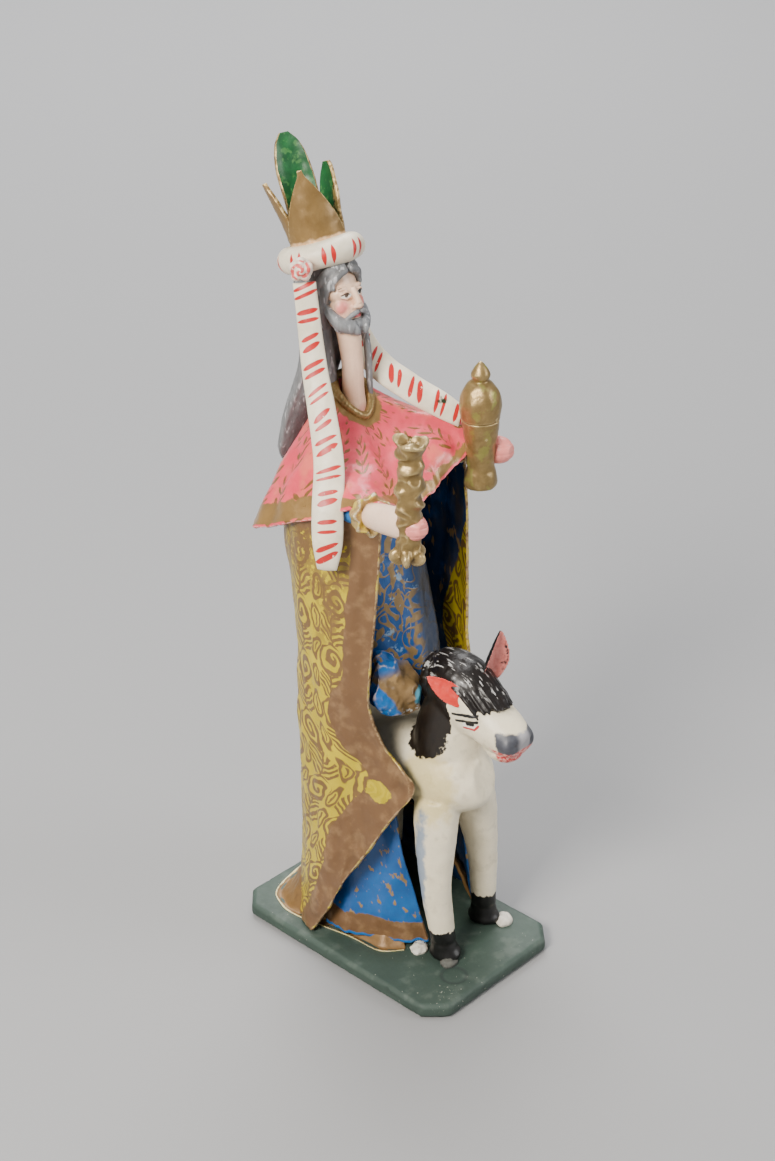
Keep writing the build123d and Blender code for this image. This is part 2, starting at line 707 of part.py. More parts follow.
for name, part in leaves.items():
    keep(name, part, "goldenrod")

for name, part in pieces.items():
    export_step(part, "parts/" + name + ".step")
print(len(pieces), "pieces written")
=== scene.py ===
"""Looks of a folk-art king on a small horse, in painted cloth, modelled paste and gold paint.

Lengths in this script are millimetres in the part's own frame (+Z up, figure faces -Y, its right
hand at -X) until to_mesh() turns them into metres.
"""

import math

import bpy
import numpy as np
from mathutils import Matrix, Vector, noise


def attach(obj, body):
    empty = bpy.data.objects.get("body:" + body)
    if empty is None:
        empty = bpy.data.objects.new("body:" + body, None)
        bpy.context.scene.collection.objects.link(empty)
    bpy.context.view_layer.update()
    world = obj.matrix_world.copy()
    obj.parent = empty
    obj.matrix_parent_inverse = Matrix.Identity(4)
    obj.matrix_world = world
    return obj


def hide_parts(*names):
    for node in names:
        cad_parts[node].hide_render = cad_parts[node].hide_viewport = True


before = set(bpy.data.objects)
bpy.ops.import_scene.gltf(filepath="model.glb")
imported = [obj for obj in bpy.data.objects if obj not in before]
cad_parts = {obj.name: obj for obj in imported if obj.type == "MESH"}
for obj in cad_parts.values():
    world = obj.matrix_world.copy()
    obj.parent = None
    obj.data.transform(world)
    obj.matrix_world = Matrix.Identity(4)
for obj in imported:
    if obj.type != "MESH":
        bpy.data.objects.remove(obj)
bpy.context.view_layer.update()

MM = 0.001                      # metres in a millimetre
MID = 9.0                       # x of the figure's middle plane
BOARD_TOP = 8.0                 # the horse's hooves stand at this height
HEAD_TILT = math.radians(12)    # how far the head leans back
RING_TILT = math.radians(20)    # how far the rolled ring on the head leans back
RING_CENTRE = np.array([MID + 1, 57.0, 344.5])
CLOTH = 1.7                     # thickness of the stiffened cloth
TUNIC_CLOTH = 1.5
NO_EDGE = 99.0                  # distance to the side edges on a cloth that has none
CAPE_FOLDS = 7
STUDIO_NEAR, STUDIO_FAR = 4000, 9000
SENSOR, LENS = 36, 61.53
CAMERA_PLACE = (-0.6015, -0.5646, 0.6302)      # metres
CAMERA_DOWN, CAMERA_TURN = 27.53, -46.5        # degrees


# ------------------------------------------------------------------ shapes

def vec(*values):
    return np.array(values, float)


def unit(v):
    return v / max(np.linalg.norm(v), 1e-9)


def catmull(points, count, closed=False):
    """Points of a smooth curve (or of many side by side) through the given ones."""
    p = np.asarray(points, float)
    n = len(p)
    spans = n if closed else n - 1
    t = np.linspace(0, spans, count, endpoint=not closed)
    i = np.minimum(t.astype(int), spans - 1)
    f = (t - i).reshape((-1,) + (1,) * (p.ndim - 1))

    def at(k):
        return p[k % n] if closed else p[np.clip(k, 0, n - 1)]

    a, b, c, d = at(i - 1), at(i), at(i + 1), at(i + 2)
    return 0.5 * (2 * b + (c - a) * f + (2 * a - 5 * b + 4 * c - d) * f ** 2
                  + (3 * b - a - 3 * c + d) * f ** 3)


def fuzz(points, size, seed=0.0):
    """Smooth noise from -1 to 1 at each point, with lumps about size millimetres across."""
    flat = np.asarray(points, float).reshape(-1, 3) / size + seed
    values = np.fromiter((noise.noise(Vector(q)) for q in flat), float, len(flat))
    return values.reshape(np.shape(points)[:-1])


def to_mesh(name, points, faces):
    mesh = bpy.data.meshes.new(name)
    mesh.from_pydata((np.asarray(points) * MM).tolist(), [], faces)
    mesh.validate()
    mesh.shade_smooth()
    obj = bpy.data.objects.new(name, mesh)
    bpy.context.scene.collection.objects.link(obj)
    return obj


def baked(obj):
    """Puts the result of the object's modifiers into its mesh."""
    graph = bpy.context.evaluated_depsgraph_get()
    mesh = bpy.data.meshes.new_from_object(obj.evaluated_get(graph), depsgraph=graph)
    obj.modifiers.clear()
    obj.data = mesh
    return obj


def grid_faces(rows, columns, closed=False):
    faces = []
    for i in range(rows - 1):
        for j in range(columns if closed else columns - 1):
            k = (j + 1) % columns
            a, b = i * columns, (i + 1) * columns
            faces.append((a + j, a + k, b + k, b + j))
    return faces


def grid_normals(p, closed=False):
    if closed:
        across = np.roll(p, -1, 1) - np.roll(p, 1, 1)
    else:
        across = np.gradient(p, axis=1)
    n = np.cross(across, np.gradient(p, axis=0))
    return n / np.maximum(np.linalg.norm(n, axis=2, keepdims=True), 1e-9)


def lengths(p, axis):
    step = np.linalg.norm(np.diff(p, axis=axis), axis=2)
    total = np.cumsum(step, axis=axis)
    pad = [(0, 0), (0, 0)]
    pad[axis] = (1, 0)
    return np.pad(total, pad)


def cloth(name, control, rows, columns, shape, materials, thickness=CLOTH, closed=False,
          ragged=1.2):
    """A stiff sheet over a grid of control points, with its flat lengths kept for the paint.

    The first row is the hem, and the columns run clockwise seen from above. shape(points, u, v)
    gives how far each point stands out along the sheet's normal. The layer "Paint" holds
    millimetres across and up the sheet, and "edge", "hem" and "rim" the distances to its free side
    edges, its first row and its last.
    """
    control = np.asarray(control, float)[:, ::-1]
    p = catmull(control, rows)
    p = np.swapaxes(catmull(np.swapaxes(p, 0, 1), columns, closed), 0, 1)
    u, v = lengths(p, 1), lengths(p, 0)
    p = p + grid_normals(p, closed) * shape(p, u, v)[..., None]
    p[..., 2] += ragged * fuzz(p[:1] * (1, 1, 0), 3.5, 2.0) * np.exp(-v / 6)
    u = u - u[:, -1:] / 2
    even = u / (-u[:, :1]) * -u[:, 0].mean()
    obj = to_mesh(name, p.reshape(-1, 3), grid_faces(rows, columns, closed))
    mesh = obj.data
    edge = np.full_like(u, NO_EDGE) if closed else u[:, -1:] - np.abs(u)
    for label, values in (("edge", edge), ("hem", v), ("rim", v[-1:] - v)):
        layer = mesh.attributes.new(label, "FLOAT", "POINT")
        layer.data.foreach_set("value", values.ravel().astype(np.float32))
    corner = np.zeros(len(mesh.loops), np.int32)
    mesh.loops.foreach_get("vertex_index", corner)
    flat = np.stack([even.ravel()[corner], v.ravel()[corner]], 1)
    if closed:
        girth = u[:, -1] - u[:, 0] + np.linalg.norm(p[:, -1] - p[:, 0], axis=1)
        quad = corner.reshape(-1, 4)
        last = quad % columns == columns - 1
        back = (quad % columns == 0) & last.any(1)[:, None]
        flat[back.ravel(), 0] += girth.mean()
    mesh.uv_layers.new(name="Paint").data.foreach_set("uv", flat.ravel().astype(np.float32))
    for material in materials:
        mesh.materials.append(material)
    solid = obj.modifiers.new("thickness", "SOLIDIFY")
    solid.thickness = thickness * MM
    solid.offset = -1
    solid.material_offset = len(materials) - 1
    baked(obj)
    width = (u[:, -1] - u[:, 0]).mean() if not closed else girth.mean()
    obj["flat"] = (float(u[:, -1].max() - u[:, 0].min()) * MM, float(v[-1].max()) * MM)
    obj["area"] = float(width * v[-1].mean()) * MM * MM
    return obj


def tube(path, radii, count=None, sides=20, facing=(0, 0, 1)):
    """Points and faces of a round bar along a path; a radius is a number or (across, deep)."""
    radii = np.array([(r, r) if np.isscalar(r) else r for r in radii], float)
    count = count or 6 * len(path)
    line = catmull(path, count)
    size = catmull(radii, count)
    run = np.gradient(line, axis=0)
    angle = np.linspace(0, 2 * math.pi, sides, endpoint=False)
    rings = []
    for i, centre in enumerate(line):
        d = unit(run[i])
        across = unit(np.cross(d, vec(*facing)))
        deep = np.cross(across, d)
        rings.append(centre + size[i, 0] * np.cos(angle)[:, None] * across
                     + size[i, 1] * np.sin(angle)[:, None] * deep)
    points = np.concatenate(rings)
    faces = grid_faces(count, sides, True)
    faces.append(tuple(range(sides))[::-1])
    faces.append(tuple((count - 1) * sides + k for k in range(sides)))
    return points, faces


def ball(centre, radii, turn=(0, 0, 0), rings=16, sides=24):
    """Closed ellipsoid; turn is in degrees about X, Y and Z."""
    radii = (radii,) * 3 if np.isscalar(radii) else radii
    points = [(0, 0, -1)]
    for i in range(1, rings):
        a = math.pi * i / rings
        for j in range(sides):
            b = 2 * math.pi * j / sides
            points.append((math.sin(a) * math.cos(b), math.sin(a) * math.sin(b), -math.cos(a)))
    points.append((0, 0, 1))
    faces = [(0, 1 + (j + 1) % sides, 1 + j) for j in range(sides)]
    for i in range(rings - 2):
        for j in range(sides):
            a, k = 1 + i * sides, (j + 1) % sides
            faces.append((a + j, a + k, a + sides + k, a + sides + j))
    a, top = 1 + (rings - 2) * sides, len(points) - 1
    faces += [(a + j, a + (j + 1) % sides, top) for j in range(sides)]
    turned = Matrix.Rotation(math.radians(turn[2]), 3,
                             "Z") @ Matrix.Rotation(math.radians(turn[1]), 3, "Y")
    turned = np.array(turned @ Matrix.Rotation(math.radians(turn[0]), 3, "X"))
    return (np.array(points) * radii) @ turned.T + np.asarray(centre, float), faces


def sculpt(name, parts, voxel=0.8, soften=6, lumps=0.15, lump_size=6.0, carve=None):
    """One clay-like skin over overlapping closed shapes: remeshed, softened, then roughened."""
    points, faces = [], []
    offset = 0
    for part_points, part_faces in parts:
        points.append(part_points)
        faces += [tuple(k + offset for k in f) for f in part_faces]
        offset += len(part_points)
    obj = to_mesh(name, np.concatenate(points), faces)
    skin = obj.modifiers.new("skin", "REMESH")
    skin.mode = "VOXEL"
    skin.voxel_size = voxel * MM
    skin.use_smooth_shade = True
    if soften:
        smooth = obj.modifiers.new("soften", "SMOOTH")
        smooth.iterations = soften
        smooth.factor = 0.5
    baked(obj)
    mesh = obj.data
    p = np.zeros(len(mesh.vertices) * 3, np.float32)
    n = np.zeros_like(p)
    mesh.vertices.foreach_get("co", p)
    mesh.vertices.foreach_get("normal", n)
    p = p.reshape(-1, 3).astype(float) / MM
    n = n.reshape(-1, 3).astype(float)
    push = lumps * fuzz(p, lump_size) + 0.4 * lumps * fuzz(p, lump_size * 0.35, 7.3)
    if carve:
        push = push + carve(p, n)
    mesh.vertices.foreach_set("co", ((p + n * push[:, None]) * MM).ravel().astype(np.float32))
    mesh.update()
    mesh.shade_smooth()
    return obj


# ------------------------------------------------------------------ paint

def rgb(code):
    """Linear colour from a web colour such as #D8C23E."""
    channels = [int(code[i:i + 2], 16) / 255 for i in (1, 3, 5)]
    return tuple(c / 12.92 if c <= 0.04045 else ((c + 0.055) / 1.055) ** 2.4
                 for c in channels) + (1.0,)


class Paint:
    """A node material, built up by small steps. Lengths in its patterns are millimetres."""

    def __init__(self, name):
        self.material = bpy.data.materials.new(name)
        self.material.use_nodes = True
        self.tree = self.material.node_tree
        self.shader = self.tree.nodes["Principled BSDF"]
        place = self.node("ShaderNodeTexCoord").outputs["Object"]
        self.place = self.vector("SCALE", place, scale=1 / MM)

    def node(self, kind, **settings):
        made = self.tree.nodes.new(kind)
        for key, value in settings.items():
            setattr(made, key, value)
        return made

    def put(self, socket, value):
        if isinstance(value, bpy.types.NodeSocket):
            self.tree.links.new(value, socket)
        else:
            socket.default_value = rgb(value) if isinstance(value, str) else value

    def math(self, operation, *values, clamp=False):
        made = self.node("ShaderNodeMath", operation=operation, use_clamp=clamp)
        for socket, value in zip(made.inputs, values):
            self.put(socket, value)
        return made.outputs[0]

    def add(self, a, b):
        return self.math("ADD", a, b)

    def less(self, a, b):
        return self.math("SUBTRACT", a, b)

    def times(self, a, b):
        return self.math("MULTIPLY", a, b)

    def size(self, a):
        return self.math("ABSOLUTE", a)

    def unless(self, mask):
        return self.less(1.0, mask)

    def vector(self, operation, a, b=None, scale=None):
        made = self.node("ShaderNodeVectorMath", operation=operation)
        self.put(made.inputs[0], a)
        if b is not None:
            self.put(made.inputs[1], b)
        if scale is not None:
            self.put(made.inputs["Scale"], scale)
        number = operation in ("LENGTH", "DOT_PRODUCT", "DISTANCE")
        return made.outputs["Value" if number else "Vector"]

    def split(self, v):
        made = self.node("ShaderNodeSeparateXYZ")
        self.put(made.inputs[0], v)
        return made.outputs[0], made.outputs[1], made.outputs[2]

    def join(self, x=0.0, y=0.0, z=0.0):
        made = self.node("ShaderNodeCombineXYZ")
        for socket, value in zip(made.inputs, (x, y, z)):
            self.put(socket, value)
        return made.outputs[0]

    def flat(self):
        """Millimetres across and up the sheet."""
        made = self.node("ShaderNodeUVMap", uv_map="Paint")
        return self.split(made.outputs[0])[:2]

    def value(self, name):
        return self.node("ShaderNodeAttribute", attribute_name=name).outputs["Fac"]

    def noise(self, size, where=None, detail=3.0, rough=0.55, twist=0.0):
        made = self.node("ShaderNodeTexNoise")
        self.put(made.inputs["Vector"], self.place if where is None else where)
        made.inputs["Scale"].default_value = 1.0 / size
        made.inputs["Detail"].default_value = detail
        made.inputs["Roughness"].default_value = rough
        made.inputs["Distortion"].default_value = twist
        return made.outputs[0]

    def random(self, where):
        made = self.node("ShaderNodeTexWhiteNoise", noise_dimensions="3D")
        self.put(made.inputs["Vector"], where)
        return made.outputs["Value"]

    def above(self, value, limit, soft=0.05):
        """0 below the limit and 1 above it, with a soft edge."""
        made = self.node("ShaderNodeMapRange", interpolation_type="SMOOTHSTEP")
        self.put(made.inputs["Value"], value)
        if isinstance(limit, bpy.types.NodeSocket):
            self.put(made.inputs["From Min"], self.less(limit, soft))
            self.put(made.inputs["From Max"], self.add(limit, soft))
        else:
            made.inputs["From Min"].default_value = limit - soft
            made.inputs["From Max"].default_value = limit + soft
        return made.outputs["Result"]

    def below(self, value, limit, soft=0.05):
        return self.unless(self.above(value, limit, soft))

    def both(self, *masks):
        out = masks[0]
        for mask in masks[1:]:
            out = self.times(out, mask)
        return out

    def either(self, *masks):
        out = masks[0]
        for mask in masks[1:]:
            out = self.math("MAXIMUM", out, mask)
        return out

    def mix(self, mask, under, over):
        made = self.node("ShaderNodeMix", data_type="RGBA")
        self.put(made.inputs[0], mask)
        self.put(made.inputs[6], under)
        self.put(made.inputs[7], over)
        return made.outputs[2]

    def blend(self, mask, low, high):
        """A number from low to high as the mask goes from 0 to 1."""
        made = self.node("ShaderNodeMapRange")
        self.put(made.inputs["Value"], mask)
        self.put(made.inputs["To Min"], low)
        self.put(made.inputs["To Max"], high)
        return made.outputs["Result"]

    def ragged(self, value, reach, *args, **more):
        """The value moved up and down by a noise of that reach, for an uneven edge."""
        return self.add(value, self.blend(self.noise(*args, **more), -reach, reach))

    def wash(self, mask, strength, under, over):
        """A thin coat of the second colour where the mask is."""
        return self.mix(self.times(mask, strength), under, over)

    def tones(self, grain, one, other, **more):
        """Two tones of one colour, clouding into each other."""
        return self.mix(self.noise(grain, **more), one, other)

    def patches(self, grain, limit, soft=0.05, **more):
        return self.above(self.noise(grain, **more), limit, soft)

    def dab(self, a, b, radius, soft=0.25, mirror=False, ragged=0.35, across=1.0):
        """One brush stroke from point a to point b on a modelled surface; both sides with mirror.

        A small value for across lets the stroke reach further along X.
        """
        place, a, b = self.place, vec(*a), vec(*b)
        if mirror:
            x, y, z = self.split(place)
            x = self.add(self.size(self.less(x, MID)), MID)
            place = self.join(x, y, z)
        if across != 1.0:
            place = self.vector("MULTIPLY", place, (across, 1.0, 1.0))
            a, b = a * (across, 1, 1), b * (across, 1, 1)
        reach = b - a
        from_a = self.vector("SUBTRACT", place, tuple(a))
        along = self.vector("DOT_PRODUCT", from_a, tuple(reach / max(reach @ reach, 1e-9)))
        along = self.math("MINIMUM", self.math("MAXIMUM", along, 0.0), 1.0)
        nearest = self.vector("SCALE", tuple(reach), scale=along)
        off = self.vector("LENGTH", self.vector("SUBTRACT", from_a, nearest))
        if ragged:
            wobble = self.times(self.less(self.noise(1.6), 0.5), 2 * ragged)
            off = self.add(off, wobble)
        return self.below(off, radius, soft)

    def blot(self, centre, radii, ragged=0.25, size=4.0, soft=0.06):
        """A ragged patch of paint inside an ellipsoid."""
        off = self.vector("SUBTRACT", self.place, tuple(vec(*centre)))
        off = self.vector("LENGTH", self.vector("DIVIDE", off, tuple(vec(*radii))))
        rag = self.times(self.less(self.noise(size, detail=4.0), 0.5), 2 * ragged)
        return self.below(self.add(off, rag), 1.0, soft)

    def finish(self, colour, rough=0.5, metal=0.0, raised=None, bump=0.25, grain=1.2, wear=None,
               wear_at=0.56, dirt_and_shade=0.35, sheen=0.0, coat=0.0, streak=None):
        """Hand-painted surface: uneven colour, painted shade in the hollows, worn edges, brush
        marks and sheen.
        """
        uneven = self.noise(9.0, detail=4.0)
        fine = self.noise(0.9, detail=2.0)
        tone = self.add(self.blend(uneven, 0.86, 1.12), self.blend(fine, -0.05, 0.05))
        shade = self.node("ShaderNodeVectorMath", operation="SCALE")
        self.put(shade.inputs[0], colour)
        self.put(shade.inputs["Scale"], tone)
        colour = shade.outputs["Vector"]
        point = self.node("ShaderNodeNewGeometry").outputs["Pointiness"]
        # painted shade: the hollows (low pointiness) are darkened towards #3A2E22
        if dirt_and_shade:
            hollow = self.times(self.below(point, 0.47, 0.035), dirt_and_shade)
            colour = self.mix(hollow, colour, "#3A2E22")
        if wear:
            edge = self.both(self.above(point, wear_at, 0.03),
                             self.above(self.noise(2.2), 0.5, 0.08))
            colour = self.mix(self.times(edge, 0.8), colour, wear)
        self.put(self.shader.inputs["Base Color"], colour)
        spread = self.blend(self.noise(3.0, detail=4.0), -0.12, 0.12)
        self.put(self.shader.inputs["Roughness"], self.math("ADD", rough, spread, clamp=True))
        self.put(self.shader.inputs["Metallic"], metal)
        if sheen:
            self.shader.inputs["Sheen Weight"].default_value = sheen
        if coat:
            self.shader.inputs["Coat Weight"].default_value = coat
            self.shader.inputs["Coat Roughness"].default_value = 0.3
        marks = self.vector("MULTIPLY", self.place, streak or (1.0, 1.0, 0.35))
        height = self.add(self.times(self.noise(grain, marks, 4.0), 0.6),
                          self.times(self.noise(grain * 4, detail=3.0), 1.0))
        if raised is not None:
            height = self.add(height, self.times(raised, 0.45))
        made = self.node("ShaderNodeBump")
        made.inputs["Strength"].default_value = bump
        made.inputs["Distance"].default_value = BRUSH_DEPTH * MM
        self.put(made.inputs["Height"], height)
        self.put(self.shader.inputs["Normal"], made.outputs[0])
        return self.material


BRUSH_DEPTH = 0.4               # height of the brush marks, mm
YELLOW = "#DCC43A"
BRONZE = "#775738"
BRONZE_LIGHT = "#A28058"
BLACK = "#0B0A0A"
WHITE = "#E9E5DA"


def bronze(p):
    """Two tones of worn bronze paint."""
    return p.wash(p.patches(7.0, 0.58, 0.12, detail=4.0), 0.55, BRONZE, BRONZE_LIGHT)


def centred(p, value, span):
    """The value's place inside its repeat, from -span/2 to span/2, and the repeat's number."""
    number = p.math("FLOOR", p.math("DIVIDE", value, span))
    inside = p.less(p.less(value, p.times(number, span)), span / 2)
    return inside, number


def brocade(p, u, v, wide=21.0, tall=32.0):
    """Brushed roses with fern sprays between them, in staggered rows."""
    where = p.join(u, v, 0.0)
    u = p.ragged(u, 4.5, 13.0, where, 2.0)
    v = p.ragged(v, 4.5, 15.0, p.vector("ADD", where, (40.0, 9.0, 0.0)), 2.0)
    x, column = centred(p, u, wide)
    shift = p.times(p.math("MODULO", p.size(column), 2.0), tall / 2)
    y, _ = centred(p, p.add(v, shift), tall)
    side = p.size(x)
    # the rose
    up = p.less(y, tall * 0.2)
    radius = p.math("SQRT", p.add(p.times(x, x), p.times(p.times(up, up), 0.7)))
    angle = p.math("ARCTAN2", up, x)
    turns = p.math("SINE", p.add(p.times(radius, 1.6), angle))
    lobes = p.add(7.6, p.times(p.math("SINE", p.times(angle, 5.0)), 0.7))
    rose = p.both(p.above(turns, -0.25, 0.3), p.below(radius, lobes, 0.3))
    # the fern below it
    down = p.add(y, tall * 0.27)
    ribs = p.math("SINE", p.times(p.less(down, side), 1.75))
    reach = p.less(8.0, p.times(p.times(down, down), 0.07))
    fern = p.both(p.above(ribs, -0.1, 0.3), p.above(side, 0.5, 0.2), p.below(side, reach, 0.4),
                  p.below(p.size(down), 8.0, 0.3))
    stem = p.both(p.below(side, 0.6, 0.15), p.below(y, tall * 0.02, 0.5))
    # long leaves with an outline and a vein, between the columns
    far = p.less(wide / 2, side)
    mate = p.less(p.size(y), tall * 0.25)
    leaf = p.math("SQRT", p.add(p.math("POWER", p.math("DIVIDE", far, 3.0), 2.0),
                                p.math("POWER", p.math("DIVIDE", mate, 7.0), 2.0)))
    outline = p.both(p.above(leaf, 0.62, 0.06), p.below(leaf, 1.0, 0.06))
    rose = p.both(rose, p.above(leaf, 1.12, 0.05))
    fern = p.both(fern, p.above(leaf, 1.12, 0.05))
    vein = p.both(p.below(far, 0.45, 0.15), p.below(leaf, 0.5, 0.05))
    strokes = p.either(rose, fern, stem, outline, vein)
    dry = p.above(p.noise(2.4, p.vector("MULTIPLY", where, (1.0, 0.45, 1.0)), 3.0), 0.3, 0.06)
    return p.both(strokes, dry)


def sprigs(p, u, v, wide=11.5, pitch=6.0, keep=0.52):
    """Upright sprigs of slanting brush dabs in pairs, broken off here and there."""
    where = p.join(u, v, 0.0)
    u = p.ragged(u, 3.5, 14.0, where, 2.0)
    x, column = centred(p, u, wide)
    v = p.add(v, p.times(p.random(p.join(column, 1.0, 2.0)), 5.0))
    y, _ = centred(p, v, pitch)
    side = p.less(p.size(x), 2.1)
    c, s = math.cos(math.radians(32)), math.sin(math.radians(32))
    long = p.add(p.times(side, s), p.times(y, c))
    short = p.less(p.times(side, c), p.times(y, s))
    dab = p.math("SQRT", p.add(p.math("POWER", p.math("DIVIDE", long, 3.2), 2.0),
                               p.math("POWER", p.math("DIVIDE", short, 0.8), 2.0)))
    stem = p.both(p.below(p.size(x), 0.28, 0.12), p.above(p.noise(6.0, where), 0.5, 0.02))
    patch = p.above(p.noise(17.0, where, 2.0), 1.0 - keep, 0.03)
    return p.both(p.either(p.below(dab, 1.0, 0.15), stem), patch,
                  p.above(p.noise(2.0, where, 3.0), 0.33, 0.06))


def ragged_band(p, distance, width, amount=3.0, size=7.0):
    """A painted band that wide along an edge, its inner side uneven."""
    return p.below(p.ragged(distance, amount, size, detail=4.0), width, 0.35)


# ------------------------------------------------------------------ materials

def cloak_material():
    p = Paint("cloak_outside")
    u, v = p.flat()
    marks = brocade(p, u, v)
    ground = p.tones(14.0, "#A79200", "#D6BE06", detail=4.0)
    dense = p.both(p.above(p.ragged(v, 90.0, 20.0, detail=2.0), 205.0, 30.0),
                   p.patches(3.0, 0.42, 0.04, detail=3.0))
    marks = p.either(marks, dense)
    colour = p.mix(marks, ground, p.tones(5.0, "#6E5128", "#8C6B40"))
    edge = p.value("edge")
    x, _, z = p.split(p.place)
    flap = p.both(p.above(z, 62.0, 16.0), p.below(z, 150.0, 14.0), p.below(x, MID, 1.0))
    border = p.below(p.ragged(edge, 2.4, 12.0, detail=4.0), p.blend(flap, 13.5, 24.0), 0.35)
    spot = p.blot((-27, -14, 102), (6.5, 7.5, 5.5), 0.5, 6.0, 0.04)
    border = p.both(border, p.unless(spot))
    colour = p.mix(spot, colour, ground)
    colour = p.mix(border, colour, bronze(p))
    piping = p.both(p.below(p.ragged(edge, 1.1, 3.0), 0.2, 0.2), p.patches(9.0, 0.52, 0.04))
    colour = p.mix(piping, colour, YELLOW)
    wander = p.blend(p.noise(9.0, detail=4.0), -12.0, 22.0)
    smear = p.below(p.less(p.value("rim"), wander), 12.0, 1.5)
    colour = p.mix(smear, colour, bronze(p))
    painted = p.either(marks, border, smear)
    return p.finish(colour, 0.42, p.times(painted, 0.3), painted, bump=0.4, wear="#C3A478",
                    wear_at=0.54, coat=0.2)


def lining_material():
    p = Paint("cloak_lining")
    streaks = p.above(p.noise(9.0, p.vector("MULTIPLY", p.place, (1.0, 1.0, 0.3)), 5.0), 0.56, 0.1)
    light = p.patches(16.0, 0.6, 0.1, detail=4.0)
    colour = p.mix(light, "#0A3258", "#12508F")
    colour = p.wash(streaks, 0.6, colour, "#5A4C36")
    x, _, z = p.split(p.place)
    u, v = p.flat()
    flecks = p.both(p.above(p.noise(4.0, p.vector("MULTIPLY", p.join(u, v, 0.0), (1.0, 0.35, 1.0)),
                                    2.0), 0.63, 0.02), p.above(z, 150.0, 5.0))
    colour = p.mix(flecks, colour, "#9A7C50")
    # the far edge is turned out and shows the cloak's outside
    turn = p.times(p.math("DIVIDE", p.less(214.0, z), 64.0, clamp=True), 24.0)
    strip = p.both(p.below(p.ragged(p.value("edge"), 1.5, 8.0), turn, 0.4), p.above(x, 34.0, 1.0),
                   p.above(z, 122.0, 2.0))
    shown = p.mix(brocade(p, u, v), "#C8B008", "#75582E")
    colour = p.mix(strip, colour, shown)
    return p.finish(colour, 0.5)


def blue_material(name, hem_band, scribble):
    """Bright blue cloth with flecks or scribbles of gold and a ragged gold hem."""
    p = Paint(name)
    u, v = p.flat()
    x, _, z = p.split(p.place)
    where = p.join(u, v, 0.0)
    ground = p.tones(12.0, "#083A76", "#1865AC", detail=4.0)
    if scribble:
        marks = p.above(p.noise(8.5, p.vector("MULTIPLY", where, (1.0, 0.6, 1.0)), 2.0, twist=1.4),
                        0.55, 0.02)
        lines = p.size(p.less(p.noise(12.0, where, 1.0, twist=0.8), 0.5))
        marks = p.either(marks, p.below(lines, 0.028, 0.01))
    else:
        tall = p.vector("MULTIPLY", where, (1.0, 0.5, 1.0))
        marks = p.above(p.noise(3.4, tall, 2.0), 0.615, 0.02)
    colour = p.mix(marks, ground, p.tones(4.0, "#7E6744", "#AB8C5C"))
    if scribble:
        lights = p.both(p.above(p.noise(8.0, where, 4.0), 0.6, 0.03), p.below(z, 215.0, 20.0),
                        p.patches(2.5, 0.5, 0.04))
        colour = p.wash(lights, 0.7, colour, "#9CC0DC")
        # painted shade: the tunic darkens to navy towards the figure's left side (+X), away from
        # the key light
        dark = p.above(p.ragged(x, 4.0, 12.0), 13.0, 5.0)
        colour = p.wash(dark, 0.93, colour, "#041B33")
    band = ragged_band(p, v, hem_band, 3.5)
    colour = p.mix(band, colour, bronze(p))
    lip = p.below(p.ragged(v, 1.0, 4.0), 1.4, 0.3)
    colour = p.mix(lip, colour, "#1D6DB8")
    return p.finish(colour, 0.4, p.times(p.either(marks, band), 0.3), p.either(marks, band),
                    bump=0.4, coat=0.25)


def cape_material():
    p = Paint("cape_outside")
    u, v = p.flat()
    marks = sprigs(p, u, v)
    ground = p.tones(10.0, "#CC2C44", "#EE5A68", detail=4.0)
    warm = p.patches(16.0, 0.58, 0.08, detail=3.0)
    ground = p.wash(warm, 0.5, ground, "#DE7C5E")
    colour = p.mix(marks, ground, p.tones(4.0, "#6E4A24", "#96703C"))
    x, _, z = p.split(p.place)
    corner = p.both(p.below(x, -14.0, 9.0), p.below(z, 252.0, 4.0))
    band = p.below(p.ragged(v, 5.0, 9.0, detail=4.0), p.blend(corner, 5.5, 13.0), 0.5)
    band = p.both(band, p.above(p.ragged(v, 1.4, 5.0), 1.3, 0.3))
    neck = p.below(p.ragged(p.value("rim"), 4.0, 6.0, detail=3.0), 5.5, 0.8)
    gold = p.either(band, neck)
    colour = p.mix(gold, colour, p.tones(6.0, "#7E6035", "#A8844C"))
    return p.finish(colour, 0.33, p.times(p.either(marks, gold), 0.3), p.either(marks, gold),
                    bump=0.4, wear="#F3A6A2", wear_at=0.54, coat=0.25)


def cape_lining_material():
    p = Paint("cape_lining")
    colour = p.mix(p.patches(8.0, 0.55, 0.1, detail=4.0), "#C8525A", "#7B4A3A")
    return p.finish(colour, 0.55)


def floor_cloth_material():
    p = Paint("floor_cloth_outside")
    _, v = p.flat()
    brown = p.tones(10.0, "#654822", "#927044", detail=5.0)
    runs = p.noise(7.0, p.vector("MULTIPLY", p.place, (1.0, 1.0, 0.4)), 4.0)
    drips = p.both(p.above(runs, 0.62, 0.04), p.above(v, 8.0, 3.0))
    colour = p.wash(drips, 0.5, brown, "#5B4228")
    lip = ragged_band(p, v, 0.8, 1.8, 5.0)
    colour = p.mix(lip, colour, p.tones(3.0, "#D8C24A", "#E8DFC6"))
    return p.finish(colour, 0.45, 0.25, lip, bump=0.4)


def plain_material(name, low, high, rough=0.5, metal=0.0, bump=0.25, size=8.0, **extra):
    p = Paint(name)
    return p.finish(p.tones(size, low, high, detail=4.0), rough, metal, bump=bump, **extra)


